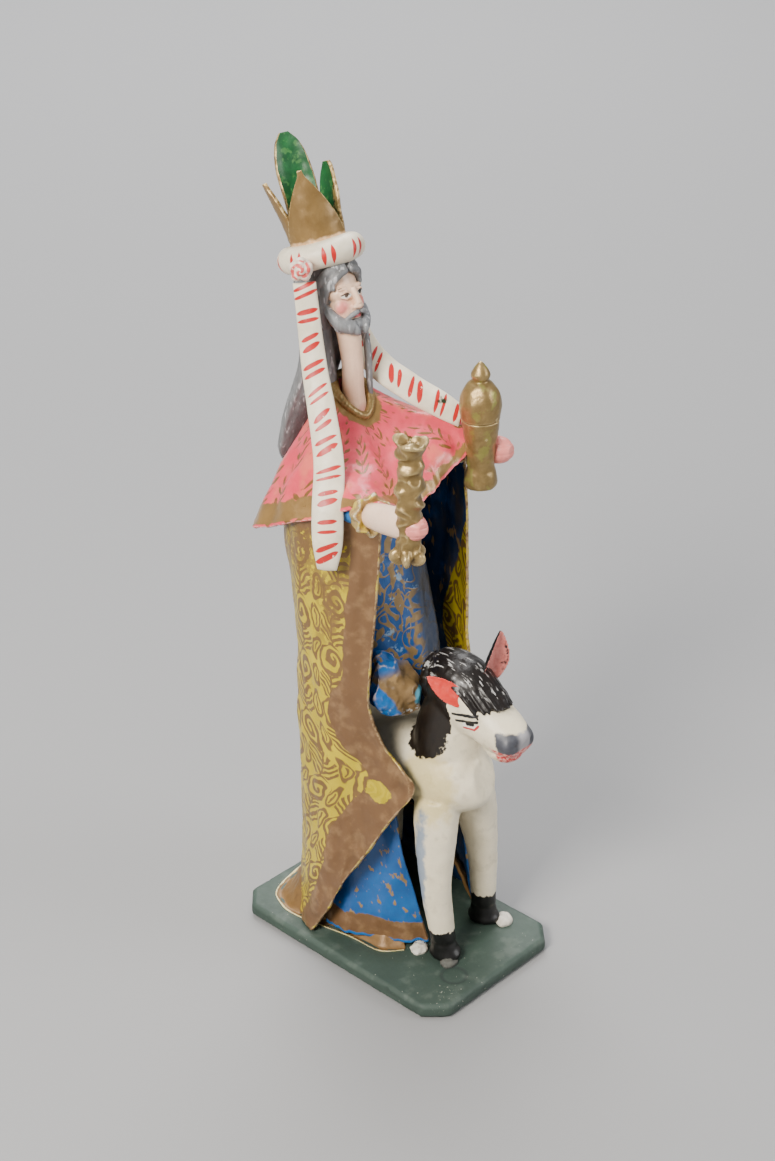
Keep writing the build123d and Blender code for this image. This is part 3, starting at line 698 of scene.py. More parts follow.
def gold_material(name="gold_paint", green=0.0):
    """Bronze powder paint over paste, with a painted highlight on the high places and painted shade
    in the hollows.
    """
    p = Paint(name)
    colour = p.tones(4.0, "#6C5632", "#A58B58", detail=5.0)
    point = p.node("ShaderNodeNewGeometry").outputs["Pointiness"]
    # painted highlight: the high places (high pointiness) are washed pale gold
    colour = p.wash(p.above(point, 0.53, 0.03), 0.6, colour, "#D9C08A")
    if green:
        tinge = p.patches(6.0, 0.6, 0.06, detail=4.0)
        colour = p.wash(tinge, green, colour, "#9A9A4A")
    return p.finish(colour, 0.36, 0.55, bump=0.3, grain=0.9, dirt_and_shade=0.55)


def crown_outside_material():
    p = Paint("crown_outside")
    colour = p.tones(8.0, "#74592F", "#937647", detail=4.0)
    foot = p.below(p.ragged(p.value("hem"), 2.0, 4.0), 3.2, 0.8)
    colour = p.mix(foot, colour, p.tones(3.0, "#D08A10", "#F0DCC0"))
    return p.finish(colour, 0.42, 0.35, bump=0.3, wear="#D8BC82", wear_at=0.53, dirt_and_shade=0.3)


def crown_inside_material(rubbed=False):
    """Green paint; with rubbed, the side away from the light shows worn gold over black."""
    p = Paint("crown_inside_rubbed" if rubbed else "crown_inside")
    colour = p.tones(5.0, "#06281A", "#1C6E36", detail=5.0)
    light = p.patches(3.2, 0.6, 0.05, detail=3.0)
    colour = p.wash(light, 0.35, colour, "#5E9A50")
    if rubbed:
        across = p.vector("DOT_PRODUCT", p.place, (0.688, -0.725, 0.0))
        gilt = p.above(p.ragged(across, 1.0, 4.0, detail=3.0), -29.4, 0.3)
        mottle = p.mix(p.patches(2.2, 0.46, 0.05, detail=4.0), "#17120B", "#A98A52")
        colour = p.mix(gilt, colour, mottle)
    return p.finish(colour, 0.42, bump=0.3)


def scarf_material(name, extra=None):
    """Cream cloth with pairs of loose red bars across it."""
    p = Paint(name)
    u, v = p.flat()
    ground = p.tones(9.0, "#DFD3B8", "#F6EDD8", detail=4.0)
    along = p.add(v, p.times(u, -0.28))
    along = p.ragged(along, 3.0, 16.0, p.join(0.0, v, 0.0), 1.0)
    y, number = centred(p, along, 12.0)
    tilt = p.blend(p.random(p.join(number, 5.0, 1.0)), -0.22, 0.22)
    y = p.add(y, p.times(u, tilt))
    reach = p.blend(p.random(p.join(number, 2.0, 8.0)), 4.2, 6.0)
    thick = p.blend(p.random(p.join(number, 7.0, 3.0)), 0.85, 1.3)
    near_end = p.unless(p.math("POWER", p.math("DIVIDE", u, reach), 4.0))
    pair = p.size(p.less(p.size(y), 2.0))
    bars = p.both(p.below(pair, p.times(thick, near_end), 0.18), p.below(p.size(u), reach, 0.2))
    dry = p.patches(1.8, 0.3, 0.05, detail=3.0)
    bars = p.both(bars, dry, p.value("front"))
    colour = p.mix(bars, ground, p.tones(3.0, "#B01418", "#CE2420"))
    if extra:
        colour = extra(p, colour)
    return p.finish(colour, 0.42, raised=bars, bump=0.3, dirt_and_shade=0.25)


# ------------------------------------------------------------------ pieces

def piece(obj, slot, nodes, *materials):
    """The object as a piece of the part, with any given materials, hung on the root; the parts it
    replaces are hidden and slot is not used.
    """
    if materials:
        obj.data.materials.clear()
        for material in materials:
            obj.data.materials.append(material)
    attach(obj, "root")
    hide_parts(*nodes)
    return obj


def ellipse_tube(rings, sides=28):
    """Closed bar through rings of (x, y, z, across, deep) that stand nearly upright."""
    path = [r[:3] for r in rings]
    return tube(path, [r[3:] for r in rings], 8 * len(rings), sides, facing=(0, -1, 0))


# --- board

def board():
    half_x, half_y, cut, rim = 46.0, 69.5, 10.0, 1.6
    outline = [(half_x, -half_y + cut), (half_x, half_y - cut), (half_x - cut, half_y),
               (-half_x + cut, half_y), (-half_x, half_y - cut), (-half_x, -half_y + cut),
               (-half_x + cut, -half_y), (half_x - cut, -half_y)]
    points, faces = [], []
    for inset, z in ((rim, 0.0), (0.0, rim), (0.0, BOARD_TOP - rim), (rim, BOARD_TOP)):
        scale_x, scale_y = 1 - inset / half_x, 1 - inset / half_y
        points += [(x * scale_x, y * scale_y, z) for x, y in outline]
    faces = grid_faces(4, 8, True) + [tuple(range(8))[::-1], tuple(range(24, 32))]

    def wear(p, n):
        edge = np.minimum(half_x - np.abs(p[:, 0]), half_y - np.abs(p[:, 1]))
        chips = np.clip(fuzz(p, 3.2, 4.0) - 0.25, 0, 1) * np.exp(-np.clip(edge, 0, 9) / 1.2)
        scuff = np.hypot(p[:, 0] + 17, p[:, 1] + 55)
        ring = np.exp(-((scuff - 6.0) / 1.1) ** 2) * (p[:, 2] > 7)
        up = np.abs(n[:, 2]) > 0.9
        raised = ~(p[:, 2] < 0.5)
        grain = np.where(up & (p[:, 2] < 1), 0.0, 0.12 * (1 + fuzz(p, 9.0)))
        return -1.3 * chips * raised - 0.35 * ring - grain

    obj = sculpt("base_board_painted", [(vec(*points), faces)], 1.0, 3, 0.0, carve=wear)
    p = Paint("board_paint")
    ground = p.tones(22.0, "#26352F", "#415349", detail=5.0)
    x, y, z = p.split(p.place)
    dx, dy = p.add(x, 17.0), p.add(y, 55.0)
    ring = p.math("SQRT", p.add(p.times(dx, dx), p.times(dy, dy)))
    ring = p.both(p.below(p.size(p.less(ring, 6.2)), 0.9, 0.5), p.above(z, 7.0, 0.3))
    colour = p.wash(ring, 0.75, ground, "#2B3733")
    dust = p.both(p.patches(11.0, 0.6, 0.08, detail=5.0), p.above(z, 6.0, 1.0))
    colour = p.wash(dust, 0.12, colour, "#8A9188")
    specks = p.patches(1.3, 0.775, 0.012, detail=1.0)
    colour = p.mix(specks, colour, "#B9B7A8")
    drips = p.both(p.blot((-33, -62, 6), (9, 6, 8), 0.5, 2.0), p.patches(1.4, 0.68, 0.02))
    colour = p.wash(drips, 0.6, colour, "#B5B4A6")
    p.finish(colour, 0.62, bump=0.45, grain=2.0, wear="#75776A", wear_at=0.58, dirt_and_shade=0.2)
    piece(obj, "board_paint", ["base_board"], p.material)


# --- horse

def horse():
    trunk = [(x, y, z, w, h) for x, y, w, h, z in
             ((8, -50, 9, 9, 109), (7, -44, 16, 16, 107), (6, -28, 21, 20, 105),
              (7.5, 0, 21.5, 19, 105), (MID, 26, 23, 20, 105),
              (MID, 40, 16, 15, 105), (MID, 46, 7, 7, 105))]
    parts = [tube([r[:3] for r in trunk], [r[3:] for r in trunk], 60, 36)]
    neck = [(MID, y, z, w, d) for y, z, w, d in
            ((-27, 108, 20, 19), (-28, 124, 18.5, 18), (-30, 140, 15.5, 15.5), (-33, 152, 11, 11))]
    parts.append(ellipse_tube(neck))
    shares = (0, 0.03, 0.1, 0.45, 0.8, 1)
    sizes = ((6.6, 8.6), (7.0, 9.0), (6.2, 6.6), (7.6, 7.8), (10.2, 10.8), (11, 12))
    for foot, top in (((-7.5, -41, BOARD_TOP), (-5, -32, 96)),
                      ((28, -35, BOARD_TOP), (18, -32, 96)),
                      ((-11.5, 32, BOARD_TOP), (-2, 32, 96)),
                      ((29.5, 32, BOARD_TOP), (20, 32, 96))):
        foot, top = vec(*foot), vec(*top)
        route = [foot + (top - foot) * (s, s, s) for s in shares]
        bow = 3.4 if foot[0] < MID else 0.8
        for point, share in zip(route, shares):
            inward = (top[0] - foot[0]) * max(0, share - 0.6) / 0.4
            point[0] = foot[0] + inward - bow * math.sin(math.pi * share)
        parts.append(tube(route, sizes, 60, 28, facing=(0, -1, 0)))
    poll, muzzle = vec(MID, -17, 155), vec(MID, -72, 134)
    shares = (0, 0.12, 0.38, 0.62, 0.85, 0.97, 1.0)
    sizes = ((6, 5), (12, 11), (14.5, 15), (12.5, 12.5), (11, 10.5), (8.0, 8.0), (5.0, 5.0))
    parts.append(tube([poll + (muzzle - poll) * s for s in shares], sizes, 60, 36))
    parts.append(ball((MID, -59, 131), (8.5, 11, 7), (15, 0, 0)))
    for side in (-1, 1):
        parts.append(ball((MID + side * 5, -67.5, 136.5), (5.6, 5.5, 6.0), (0, 0, 0)))
        parts.append(ball((MID + side * 10, -48, 146), (3.6, 6.5, 4.5), (-20, 0, 0)))

    def details(p, n):
        mirror = np.abs(p[:, 0] - MID)
        push = np.zeros(len(p))
        across = np.stack([mirror, 0 * mirror, 0 * mirror], 1)
        nostril = p[:, :3] * (0, 1, 1) + across - (5.6, -72.5, 138.0)
        nostril = np.linalg.norm(nostril / (1.8, 3, 1.7), axis=1)
        push -= 1.1 * np.exp(-nostril ** 2)
        lips = (p[:, 2] - 129.3 - 0.15 * (p[:, 1] + 70)) / 0.8
        mouth = np.exp(-lips ** 2) * (p[:, 1] < -60) * (p[:, 2] < 140)
        push -= 0.8 * mouth
        eye = np.linalg.norm((np.stack([mirror, p[:, 1], p[:, 2]],
                                       1) - (13.5, -49, 143.8)) / (3, 4.2, 1.4), axis=1)
        push -= 0.7 * np.exp(-eye ** 2)
        hoof = np.exp(-((p[:, 2] - 17.5) / 1.0) ** 2) * (np.abs(p[:, 1] + 39) < 15)
        push -= 0.35 * hoof
        return push

    obj = sculpt("horse_modelled", parts, 0.9, 9, 0.35, 9.0, details)
    p = Paint("horse_paint")
    ground = p.tones(14.0, "#DDD0B2", "#F4EAD0", detail=5.0)
    dirt_and_shade = p.both(p.patches(6.0, 0.62, 0.07, detail=5.0))
    colour = p.wash(dirt_and_shade, 0.25, ground, "#A99C80")
    x, y, z = p.split(p.place)
    yellow = p.blot((-13, -32, 108), (9, 15, 22), 0.6, 6.0, 0.25)
    colour = p.wash(yellow, 0.55, colour, "#CDB65C")
    side_edge = p.blot((-19.5, -32, 60), (4.0, 5, 46), 0.8, 5.0, 0.3)
    colour = p.wash(side_edge, 0.7, colour, "#3F6F9C")
    neck = p.either(p.blot((MID, -25, 141), (30, 15.5, 22), 0.16, 3.0, 0.02),
                    p.blot((MID, -24, 128), (30, 15.5, 13), 0.2, 3.0, 0.03))
    neck = p.both(neck, p.above(z, 112, 2.0))
    colour = p.mix(neck, colour, p.tones(5.0, "#070606", "#241A10", detail=4.0))
    feet = p.below(p.ragged(z, 2.8, 3.0, detail=3.0), 25.0, 0.4)
    colour = p.mix(feet, colour, BLACK)
    nose = p.ragged(p.less(y, p.times(z, 0.25)), 1.5, 3.0)
    snout = p.both(p.below(nose, -98.8, 0.6), p.above(z, 120, 1),
                   p.below(p.ragged(z, 1.2, 3.0), 143.6, 0.6))
    # painted highlight: a paler stripe down the middle of the grey muzzle
    middle = p.below(p.size(p.less(x, MID)), 3.4, 1.6)
    grey = p.tones(3.5, "#232429", "#5B5D66", detail=4.0)
    grey = p.wash(middle, 0.8, grey, "#A9A6AA")
    colour = p.mix(snout, colour, grey)
    low = p.both(p.below(nose, -94.5, 0.8), p.above(z, 120, 1),
                 p.below(p.ragged(z, 1.8, 2.6, detail=3.0), 134.4, 0.5))
    flesh = p.mix(p.patches(1.8, 0.5, 0.06, detail=3.0), "#C5242B", "#E2A094")
    colour = p.mix(low, colour, flesh)

    def side_stroke(start, end, radius):
        return p.dab((MID + 12, *start), (MID + 12, *end), radius, 0.15, True, 0.25, 0.2)

    lash = side_stroke((-40.5, 146.6), (-53, 148.8), 0.75)
    lid = side_stroke((-42.5, 143.6), (-53.5, 145.9), 0.75)
    pupil = side_stroke((-48.5, 143.8), (-51.0, 144.2), 1.25)
    under = p.either(side_stroke((-46.5, 141.0), (-52.5, 141.6), 0.5),
                     side_stroke((-52.5, 141.6), (-54.4, 144.2), 0.55))
    white = side_stroke((-47.0, 142.6), (-52.6, 143.6), 1.1)
    colour = p.mix(white, colour, WHITE)
    colour = p.mix(under, colour, "#B92B33")
    colour = p.mix(p.either(lash, lid, pupil), colour, BLACK)
    p.finish(colour, 0.42, bump=0.3, grain=1.6, dirt_and_shade=0.3)
    nodes = ["horse_" + part for part in
             ("body", "neck", "head", "foreleg_right", "foreleg_left", "hind_leg_right",
              "hind_leg_left")]
    piece(obj, "horse_paint", nodes, p.material)


def cupped_leaf(root, tip, width, cup, facing, thickness=2.2, rows=26, columns=14):
    """A hollowed pointed leaf from root to tip, open towards facing; gives points and faces."""
    root, tip = vec(*root), vec(*tip)
    run = unit(tip - root)
    across = unit(np.cross(run, vec(*facing)))
    out = np.cross(across, run)
    front, back = [], []
    for i in range(rows):
        t = i / (rows - 1)
        half = width * math.sin(math.pi * min(1.0, 0.22 + 0.78 * t)) ** 0.8 + 0.25
        for j in range(columns):
            a = -1 + 2 * j / (columns - 1)
            hollow = cup * (a * a) * math.sin(math.pi * min(1, 0.15 + 0.8 * t))
            base = root + (tip - root) * t + across * a * half + out * hollow
            front.append(base)
            back.append(base - out * thickness * (1 - 0.6 * a * a) * (1 - 0.5 * t))
    size = rows * columns
    faces = [tuple(reversed(f)) for f in grid_faces(rows, columns)]
    faces += [tuple(k + size for k in f) for f in grid_faces(rows, columns)]
    rim = [j for j in range(columns)] + [i * columns + columns - 1 for i in range(1, rows)]
    rim += [(rows - 1) * columns + j
            for j in range(columns - 2, -1, -1)] + [i * columns for i in range(rows - 2, 0, -1)]
    for a, b in zip(rim, rim[1:] + rim[:1]):
        faces.append((a, b, b + size, a + size))
    return np.array(front + back), faces


def ear(node, root, tip, width, cup, facing, inside, outside, hollow):
    name = node + "_modelled"
    facing = unit(vec(*facing))
    obj = sculpt(name, [cupped_leaf(root, tip, width, cup, facing)], 0.45, 3, 0.15, 2.5)
    p = Paint(name)
    normal = p.node("ShaderNodeNewGeometry").outputs["Normal"]
    towards = p.vector("DOT_PRODUCT", normal, tuple(facing))
    towards = p.ragged(towards, 0.35, 2.0, detail=3.0)
    ground = p.mix(p.above(towards, hollow, 0.08), outside, p.tones(2.2, *inside, detail=4.0))
    p.finish(ground, 0.38, bump=0.35, dirt_and_shade=0.2)
    piece(obj, "horse_paint", [node], p.material)


def horse_ears():
    ear("horse_ear_right", (-2.0, -44.0, 153.0), (-9.5, -28.0, 163.5), 4.6, 2.6,
        (-0.72, -0.5, 0.5), ("#D01F22", "#E8503F"), "#E9DCCF", 0.55)
    ear("horse_ear_left", (15.0, -43.0, 157), (21.5, -46.5, 182.5), 7.4, 4.5,
        (0.0, -0.98, 0.2), ("#B34842", "#EE9C90"), BLACK, 0.62)


def forelock():
    """Short mane over the crown of the head: a bonnet of paste with combed strands."""
    rng = np.random.default_rng(5)
    parts = [ball((MID, -36, 159.5), (12.5, 19, 8.5), (17, 0, 0)),
             ball((MID, -24, 158), (9.5, 9, 9), (0, 0, 0)),
             ball((MID + 1, -52, 152.5), (8.5, 9.5, 6.5), (30, 0, 0)),
             ball((MID - 1, -18, 152), (9, 6, 14), (0, 0, 0))]
    for k in range(26):
        a = -1 + 2 * (k + 0.5) / 26
        start = vec(MID + 9.5 * a, -23 + 2 * rng.random(), 165.5 - 4.5 * a * a)
        mid = vec(MID + 12.3 * a, -38, 167.3 - 8.5 * a * a)
        reach = 1 - 0.45 * abs(a) + 0.12 * rng.random()
        end = vec(MID + 11.5 * a + rng.normal() * 0.6, -38 - 24 * reach,
                  160 - 7.5 * reach - 8.5 * a * a)
        parts.append(tube([start, mid, (mid + end) / 2 + (0, 0, 1.2), end], [0.9, 1.3, 1.2, 0.7],
                          24, 8))
    obj = sculpt("horse_forelock_modelled", parts, 0.5, 2, 0.1, 3.0)
    p = Paint("forelock_paint")
    x, y, z = p.split(p.place)
    comb = p.join(p.times(x, 1.0), p.times(y, 0.16), p.times(z, 0.3))
    silver = p.both(p.above(p.noise(1.1, comb, 2.0), 0.6, 0.03), p.patches(7.0, 0.44, 0.05),
                    p.above(z, 156, 2.0))
    ground = p.tones(5.0, "#060606", "#1C1410")
    colour = p.wash(silver, 0.85, ground, "#B4B2B0")
    p.finish(colour, 0.36, bump=0.35, dirt_and_shade=0.0, streak=(1.0, 0.2, 0.3))
    piece(obj, "forelock_paint", ["horse_forelock"], p.material)


# --- robe

CLOAK = ((9.5, ((-39.5, 20), (-39, 28), (-33.5, 37), (-22, 46), (-6, 53), (9, 56), (24, 53),
                (40, 45), (52, 34), (57.5, 22), (55, 14))),
         (28, ((-38.5, 9), (-40, 20), (-35.5, 32), (-22, 44), (-6, 52), (9, 55), (24, 52), (40, 44),
               (53, 30), (56.5, 17), (50, 6))),
         (50, ((-36.5, -1), (-40, 12), (-37, 27), (-22, 42), (-6, 50), (9, 53), (24, 50), (40, 42),
               (54, 27), (55, 12), (46, -1))),
         (70, ((-31.5, -12), (-37, 5), (-37, 22), (-26, 39), (-8, 49), (9, 52), (26, 49), (44, 39),
               (55, 20), (52, 3), (41, -13))),
         (90, ((-26, -22), (-33, -4), (-37, 16), (-29, 36), (-9, 49), (9, 52), (27, 49), (46, 36),
               (55, 15), (49, -3), (39, -20))),
         (108, ((-20, -31), (-30, -8), (-37, 13), (-30, 35), (-9, 49), (9, 52), (27, 49), (47, 35),
                (55, 14), (49, -4), (40, -20))),
         (124, ((-24, -17), (-31.5, -3), (-37, 14), (-31, 36), (-9, 49), (9, 52), (27, 49),
                (47, 36), (54.5, 16), (49.5, -1), (42, -14))),
         (146, ((-29, -10), (-34, 0), (-37, 16), (-31, 36), (-9, 50), (9, 53), (27, 50), (48, 36),
                (54.5, 18), (50.5, 3), (44, -6))),
         (165, ((-29, -10), (-34.5, 1), (-37, 18), (-31, 37), (-9, 51), (9, 54), (27, 51), (49, 37),
                (54, 20), (51, 6), (46, -2))),
         (200, ((-25.5, -10.5), (-34.5, 2), (-37.5, 20), (-31.5, 40), (-10, 55), (9, 57), (28, 55),
                (48, 40), (54.5, 21), (52.5, 9), (48, 0))),
         (236, ((-23, -11), (-34, 4), (-37, 22), (-31, 42), (-10, 58), (9, 60), (28, 58), (48, 42),
                (55, 22), (54, 12), (50, 3))),
         (249, ((-21, -8), (-31, 4), (-34, 22), (-29, 40), (-10, 55), (9, 57), (28, 55), (45, 40),
                (51, 22), (51, 12), (49, 5))))
SKIRT = ((11, ((-9.5, -31), (-22, -17), (-31, 4), (-33, 18))),
         (50, ((-13, -20), (-20, -8), (-27, 8), (-30, 20))),
         (98, ((-16.5, -11), (-18, -4), (-20, 8), (-22, 20))))
FLOOR_CLOTH = ((8.3, ((-20, -24), (-29, -15), (-31, 4), (-37, 34), (-36, 48), (-26, 60), (9, 66),
                      (42, 60), (49.5, 48), (50, 34),
                      (48.5, 4), (47.5, -15), (38, -24))),
               (11, ((-17, -21), (-25, -12), (-27, 6), (-32, 34), (-31, 45), (-22, 55), (9, 61),
                     (40, 55), (49, 45), (50, 34),
                     (45, 6), (43, -12), (35, -21))),
               (40, ((-15, -4), (-19, 2), (-24, 12), (-27, 28), (-20, 37), (-10, 43), (9, 47),
                     (28, 43), (38, 37), (45, 28),
                     (42, 12), (37, 2), (33, -4))))
TUNIC = ((146, ((37, 30), (33, 2), (22, -7), (9, -8), (-4, -7), (-15, 2), (-19, 30))),
         (180, ((35, 32), (31, 8), (20, 0), (9, -1), (-2, 0), (-13, 8), (-17, 32))),
         (220, ((33, 34), (30, 16), (19, 9), (9, 8), (-1, 9), (-12, 16), (-15, 34))),
         (262, ((29, 36), (27, 28), (18, 23), (9, 22), (0, 23), (-9, 28), (-11, 36))))
CAPE_NECK = ((9, 29, 272), (5, 30, 274), (1.5, 33, 278), (0, 38, 283), (2, 42, 286), (5, 45, 288),
             (9, 46, 288),
             (13, 45, 288), (16, 42, 286), (18, 38, 283), (16.5, 33, 278), (13, 30, 274))
CAPE = (((9, -9, 242), (-8, -13, 245), (-30, -14, 254), (-41, 22, 238), (-39, 57, 223),
         (-14, 71, 218), (9, 74, 217),
         (32, 71, 218), (54, 57, 223), (60, 24, 244), (47, -4, 256), (27, -6, 247)),
        ((9, 0, 252), (-8, -2, 254), (-26, 2, 258), (-33, 22, 256), (-30, 49, 247), (-10, 61, 242),
         (9, 64, 241),
         (28, 61, 242), (47, 48, 247), (53, 24, 260), (46, 6, 265), (27, 0, 257)),
        ((9, 16, 262), (-1, 16, 264), (-11, 20, 267), (-15, 34, 272), (-12, 46, 270), (-4, 52, 268),
         (9, 54, 268),
         (22, 52, 268), (30, 46, 270), (34, 34, 273), (29, 20, 270), (19, 16, 265)), CAPE_NECK)


def grid(sections):
    return [[(x, y, z) for x, y in row] for z, row in sections]


def robe():
    def cloak_shape(p, u, v):
        side = np.minimum(u, u[:, -1:] - u)
        folds = 2.6 * fuzz(p * (1, 1, 0.22), 15.0) + 0.8 * fuzz(p * (1, 1, 0.4), 6.0, 3.0)
        turned = 1.8 * np.exp(-side / 5.0)
        sharp = 1 - 2.6 * np.abs(fuzz(p * (1, 1, 0.6), 9.0, 5.0))
        crushed = 1.5 * sharp * np.exp(-side / 16) * np.clip((150 - p[..., 2]) / 40, 0, 1)
        return folds * (1 - 0.6 * np.exp(-side / 8)) + turned + crushed + 0.25 * fuzz(p, 3.0)

    outside, lining = cloak_material(), lining_material()
    cloak = cloth("cloak_cloth", grid(CLOAK), 130, 190, cloak_shape, (outside, lining),
                  ragged=0.9)
    piece(cloak, "cloak_cloth", ["cloak"])

    def wavy(depth, size, squash=0.4):
        return lambda p, u, v: depth * fuzz(p * (1, 1, squash), size) + 0.3 * fuzz(p, 3.0)

    skirt_paint = blue_material("skirt_outside", 12.0, False)
    for side, name in ((1, "right"), (-1, "left")):
        rows = grid(SKIRT)
        if side < 0:
            rows = [[(2 * MID - x, y, z) for x, y, z in row][::-1] for row in rows]
        skirt = cloth(f"skirt_{name}_cloth", rows, 70, 60, wavy(2.2, 10.0), (skirt_paint, lining),
                      1.6, ragged=1.4)
        piece(skirt, "blue_cloth", [f"skirt_{name}"])

    floor_rows = grid(FLOOR_CLOTH)
    floor_rows[0] = [(x, y, z - 5.5 * (x > 46.5)) for x, y, z in floor_rows[0]]
    def crumpled(p, u, v):
        lumps = 2.2 * fuzz(p * (1, 1, 0.3), 9.0) + 0.6 * fuzz(p, 4.0)
        return np.clip(lumps, -1, 3) * np.clip(v / 12, 0.1, 1)

    floor = cloth("floor_cloth_sheet", floor_rows, 60, 190, crumpled,
                  (floor_cloth_material(), lining), ragged=0.0)
    piece(floor, "tan_cloth", ["floor_cloth"])

    tunic_paint = blue_material("tunic_outside", 3.0, True)
    tunic = cloth("tunic_cloth", grid(TUNIC), 90, 90, wavy(1.6, 9.0, 0.25),
                  (tunic_paint, lining), TUNIC_CLOTH)
    piece(tunic, "blue_cloth", ["tunic"])

    def cape_shape(p, u, v):
        down = 1 - v / v[-1:]
        turn = u / u[:, -1:] * 2 * math.pi * CAPE_FOLDS + 2.6 * fuzz(p, 20.0)
        folds = np.sin(turn) * 1.2 * np.clip(down * 1.6, 0, 1)
        return folds + 1.0 * fuzz(p, 14.0) * down + 0.25 * fuzz(p, 3.0)

    cape = cloth("cape_cloth", np.roll(CAPE, 6, axis=1), 80, 220, cape_shape,
                 (cape_material(), cape_lining_material()), closed=True, ragged=1.3)
    piece(cape, "pink_cloth", ["cape"])


def slab(front, depth, rows=40, columns=40):
    """Closed body behind a grid of points, as thick as the depth vector. Gives points and faces."""
    p = catmull(np.asarray(front, float), rows)
    p = np.swapaxes(catmull(np.swapaxes(p, 0, 1), columns), 0, 1).reshape(-1, 3)
    size = rows * columns
    faces = grid_faces(rows, columns) + [tuple(k + size for k in f[::-1])
                                         for f in grid_faces(rows, columns)]
    rim = list(range(columns)) + [i * columns + columns - 1 for i in range(1, rows)]
    rim += [(rows - 1) * columns + j
            for j in range(columns - 2, -1, -1)] + [i * columns for i in range(rows - 2, 0, -1)]
    faces += [(b, a, a + size, b + size) for a, b in zip(rim, rim[1:] + rim[:1])]
    return np.concatenate([p, p + vec(*depth)]), faces


HEM_FOLD = (((-12, 2, 166), (-6, 0, 164), (2, -4, 158), (4, -10, 150)),
            ((-18.5, -5, 166), (-11.5, -8, 163), (-4.5, -12, 156), (-0.5, -16.5, 148.5)),
            ((-23, -9, 158), (-20, -12, 154), (-12, -16, 149), (-2.5, -18.5, 144)),
            ((-25, -8, 149), (-20.5, -11.5, 142), (-12, -14.5, 138.5), (-1.5, -15.5, 137.5)),
            ((-19, -2, 144), (-14, -4, 138), (-7, -8, 135), (3, -10, 135)))


def hem_fold():
    """The tunic's lower edge, crushed up over the saddle."""
    def creases(p, n):
        fold = fuzz(p * (1.0, 1.0, 0.6), 9.0, 1.0)
        return 1.8 * (1 - 2.4 * np.abs(fold)) - 0.9 + 0.35 * fuzz(p, 3.0)

    obj = sculpt("tunic_hem_fold_cloth", [slab(HEM_FOLD, (4.0, 8.0, -2.0))], 0.6, 2, 0.2, 4.0,
                 creases)
    p = Paint("hem_fold")
    x, _, z = p.split(p.place)
    wander = p.blend(p.noise(6.0, detail=4.0), -3.0, 3.0)
    blue = p.tones(7.0, "#0B4A8C", "#1C7AC8")
    across = p.add(p.add(x, p.times(p.less(z, 150.0), 0.55)), wander)
    band = p.both(p.above(across, -19.0, 0.6), p.below(z, 160.0, 3.0))
    colour = p.mix(band, blue, p.tones(5.0, "#6B5232", "#9A7E54"))
    flecks = p.patches(5.0, 0.6, 0.02, detail=3.0)
    colour = p.mix(p.both(flecks, p.above(z, 154.0, 2.0)), colour, "#9A7C50")
    pale = p.both(p.patches(2.6, 0.58, 0.03, detail=4.0), p.below(p.add(z, wander), 143.0, 2.0))
    colour = p.wash(pale, 0.9, colour, "#C9C9C4")
    # painted highlight: the fold's ridges (high pointiness) are washed pale
    ridge_highlight = p.both(p.above(p.node("ShaderNodeNewGeometry").outputs["Pointiness"], 0.53, 0.02),
                   p.patches(3.0, 0.45, 0.05))
    colour = p.wash(ridge_highlight, 0.7, colour, "#D9BFA6")
    sky = p.blot((-1.5, -18, 146), (5, 5, 5), 0.4, 3.0, 0.1)
    colour = p.wash(sky, 0.9, colour, "#4FA3BF")
    p.finish(colour, 0.38, bump=0.35, dirt_and_shade=0.4)
    piece(obj, "blue_cloth", ["tunic_hem_fold"], p.material)


# --- figure

HEAD = vec(MID, 46, 327)


def headward(x, y, z):
    """A place on the head, given from its centre before the head leans back."""
    c, s = math.cos(HEAD_TILT), math.sin(HEAD_TILT)
    return HEAD + vec(x, y * c + z * s, z * c - y * s)


def face_ball(x, y, z, rx, ry, rz):
    return ball(headward(x, y, z), (rx, ry, rz), (-math.degrees(HEAD_TILT), 0, 0))


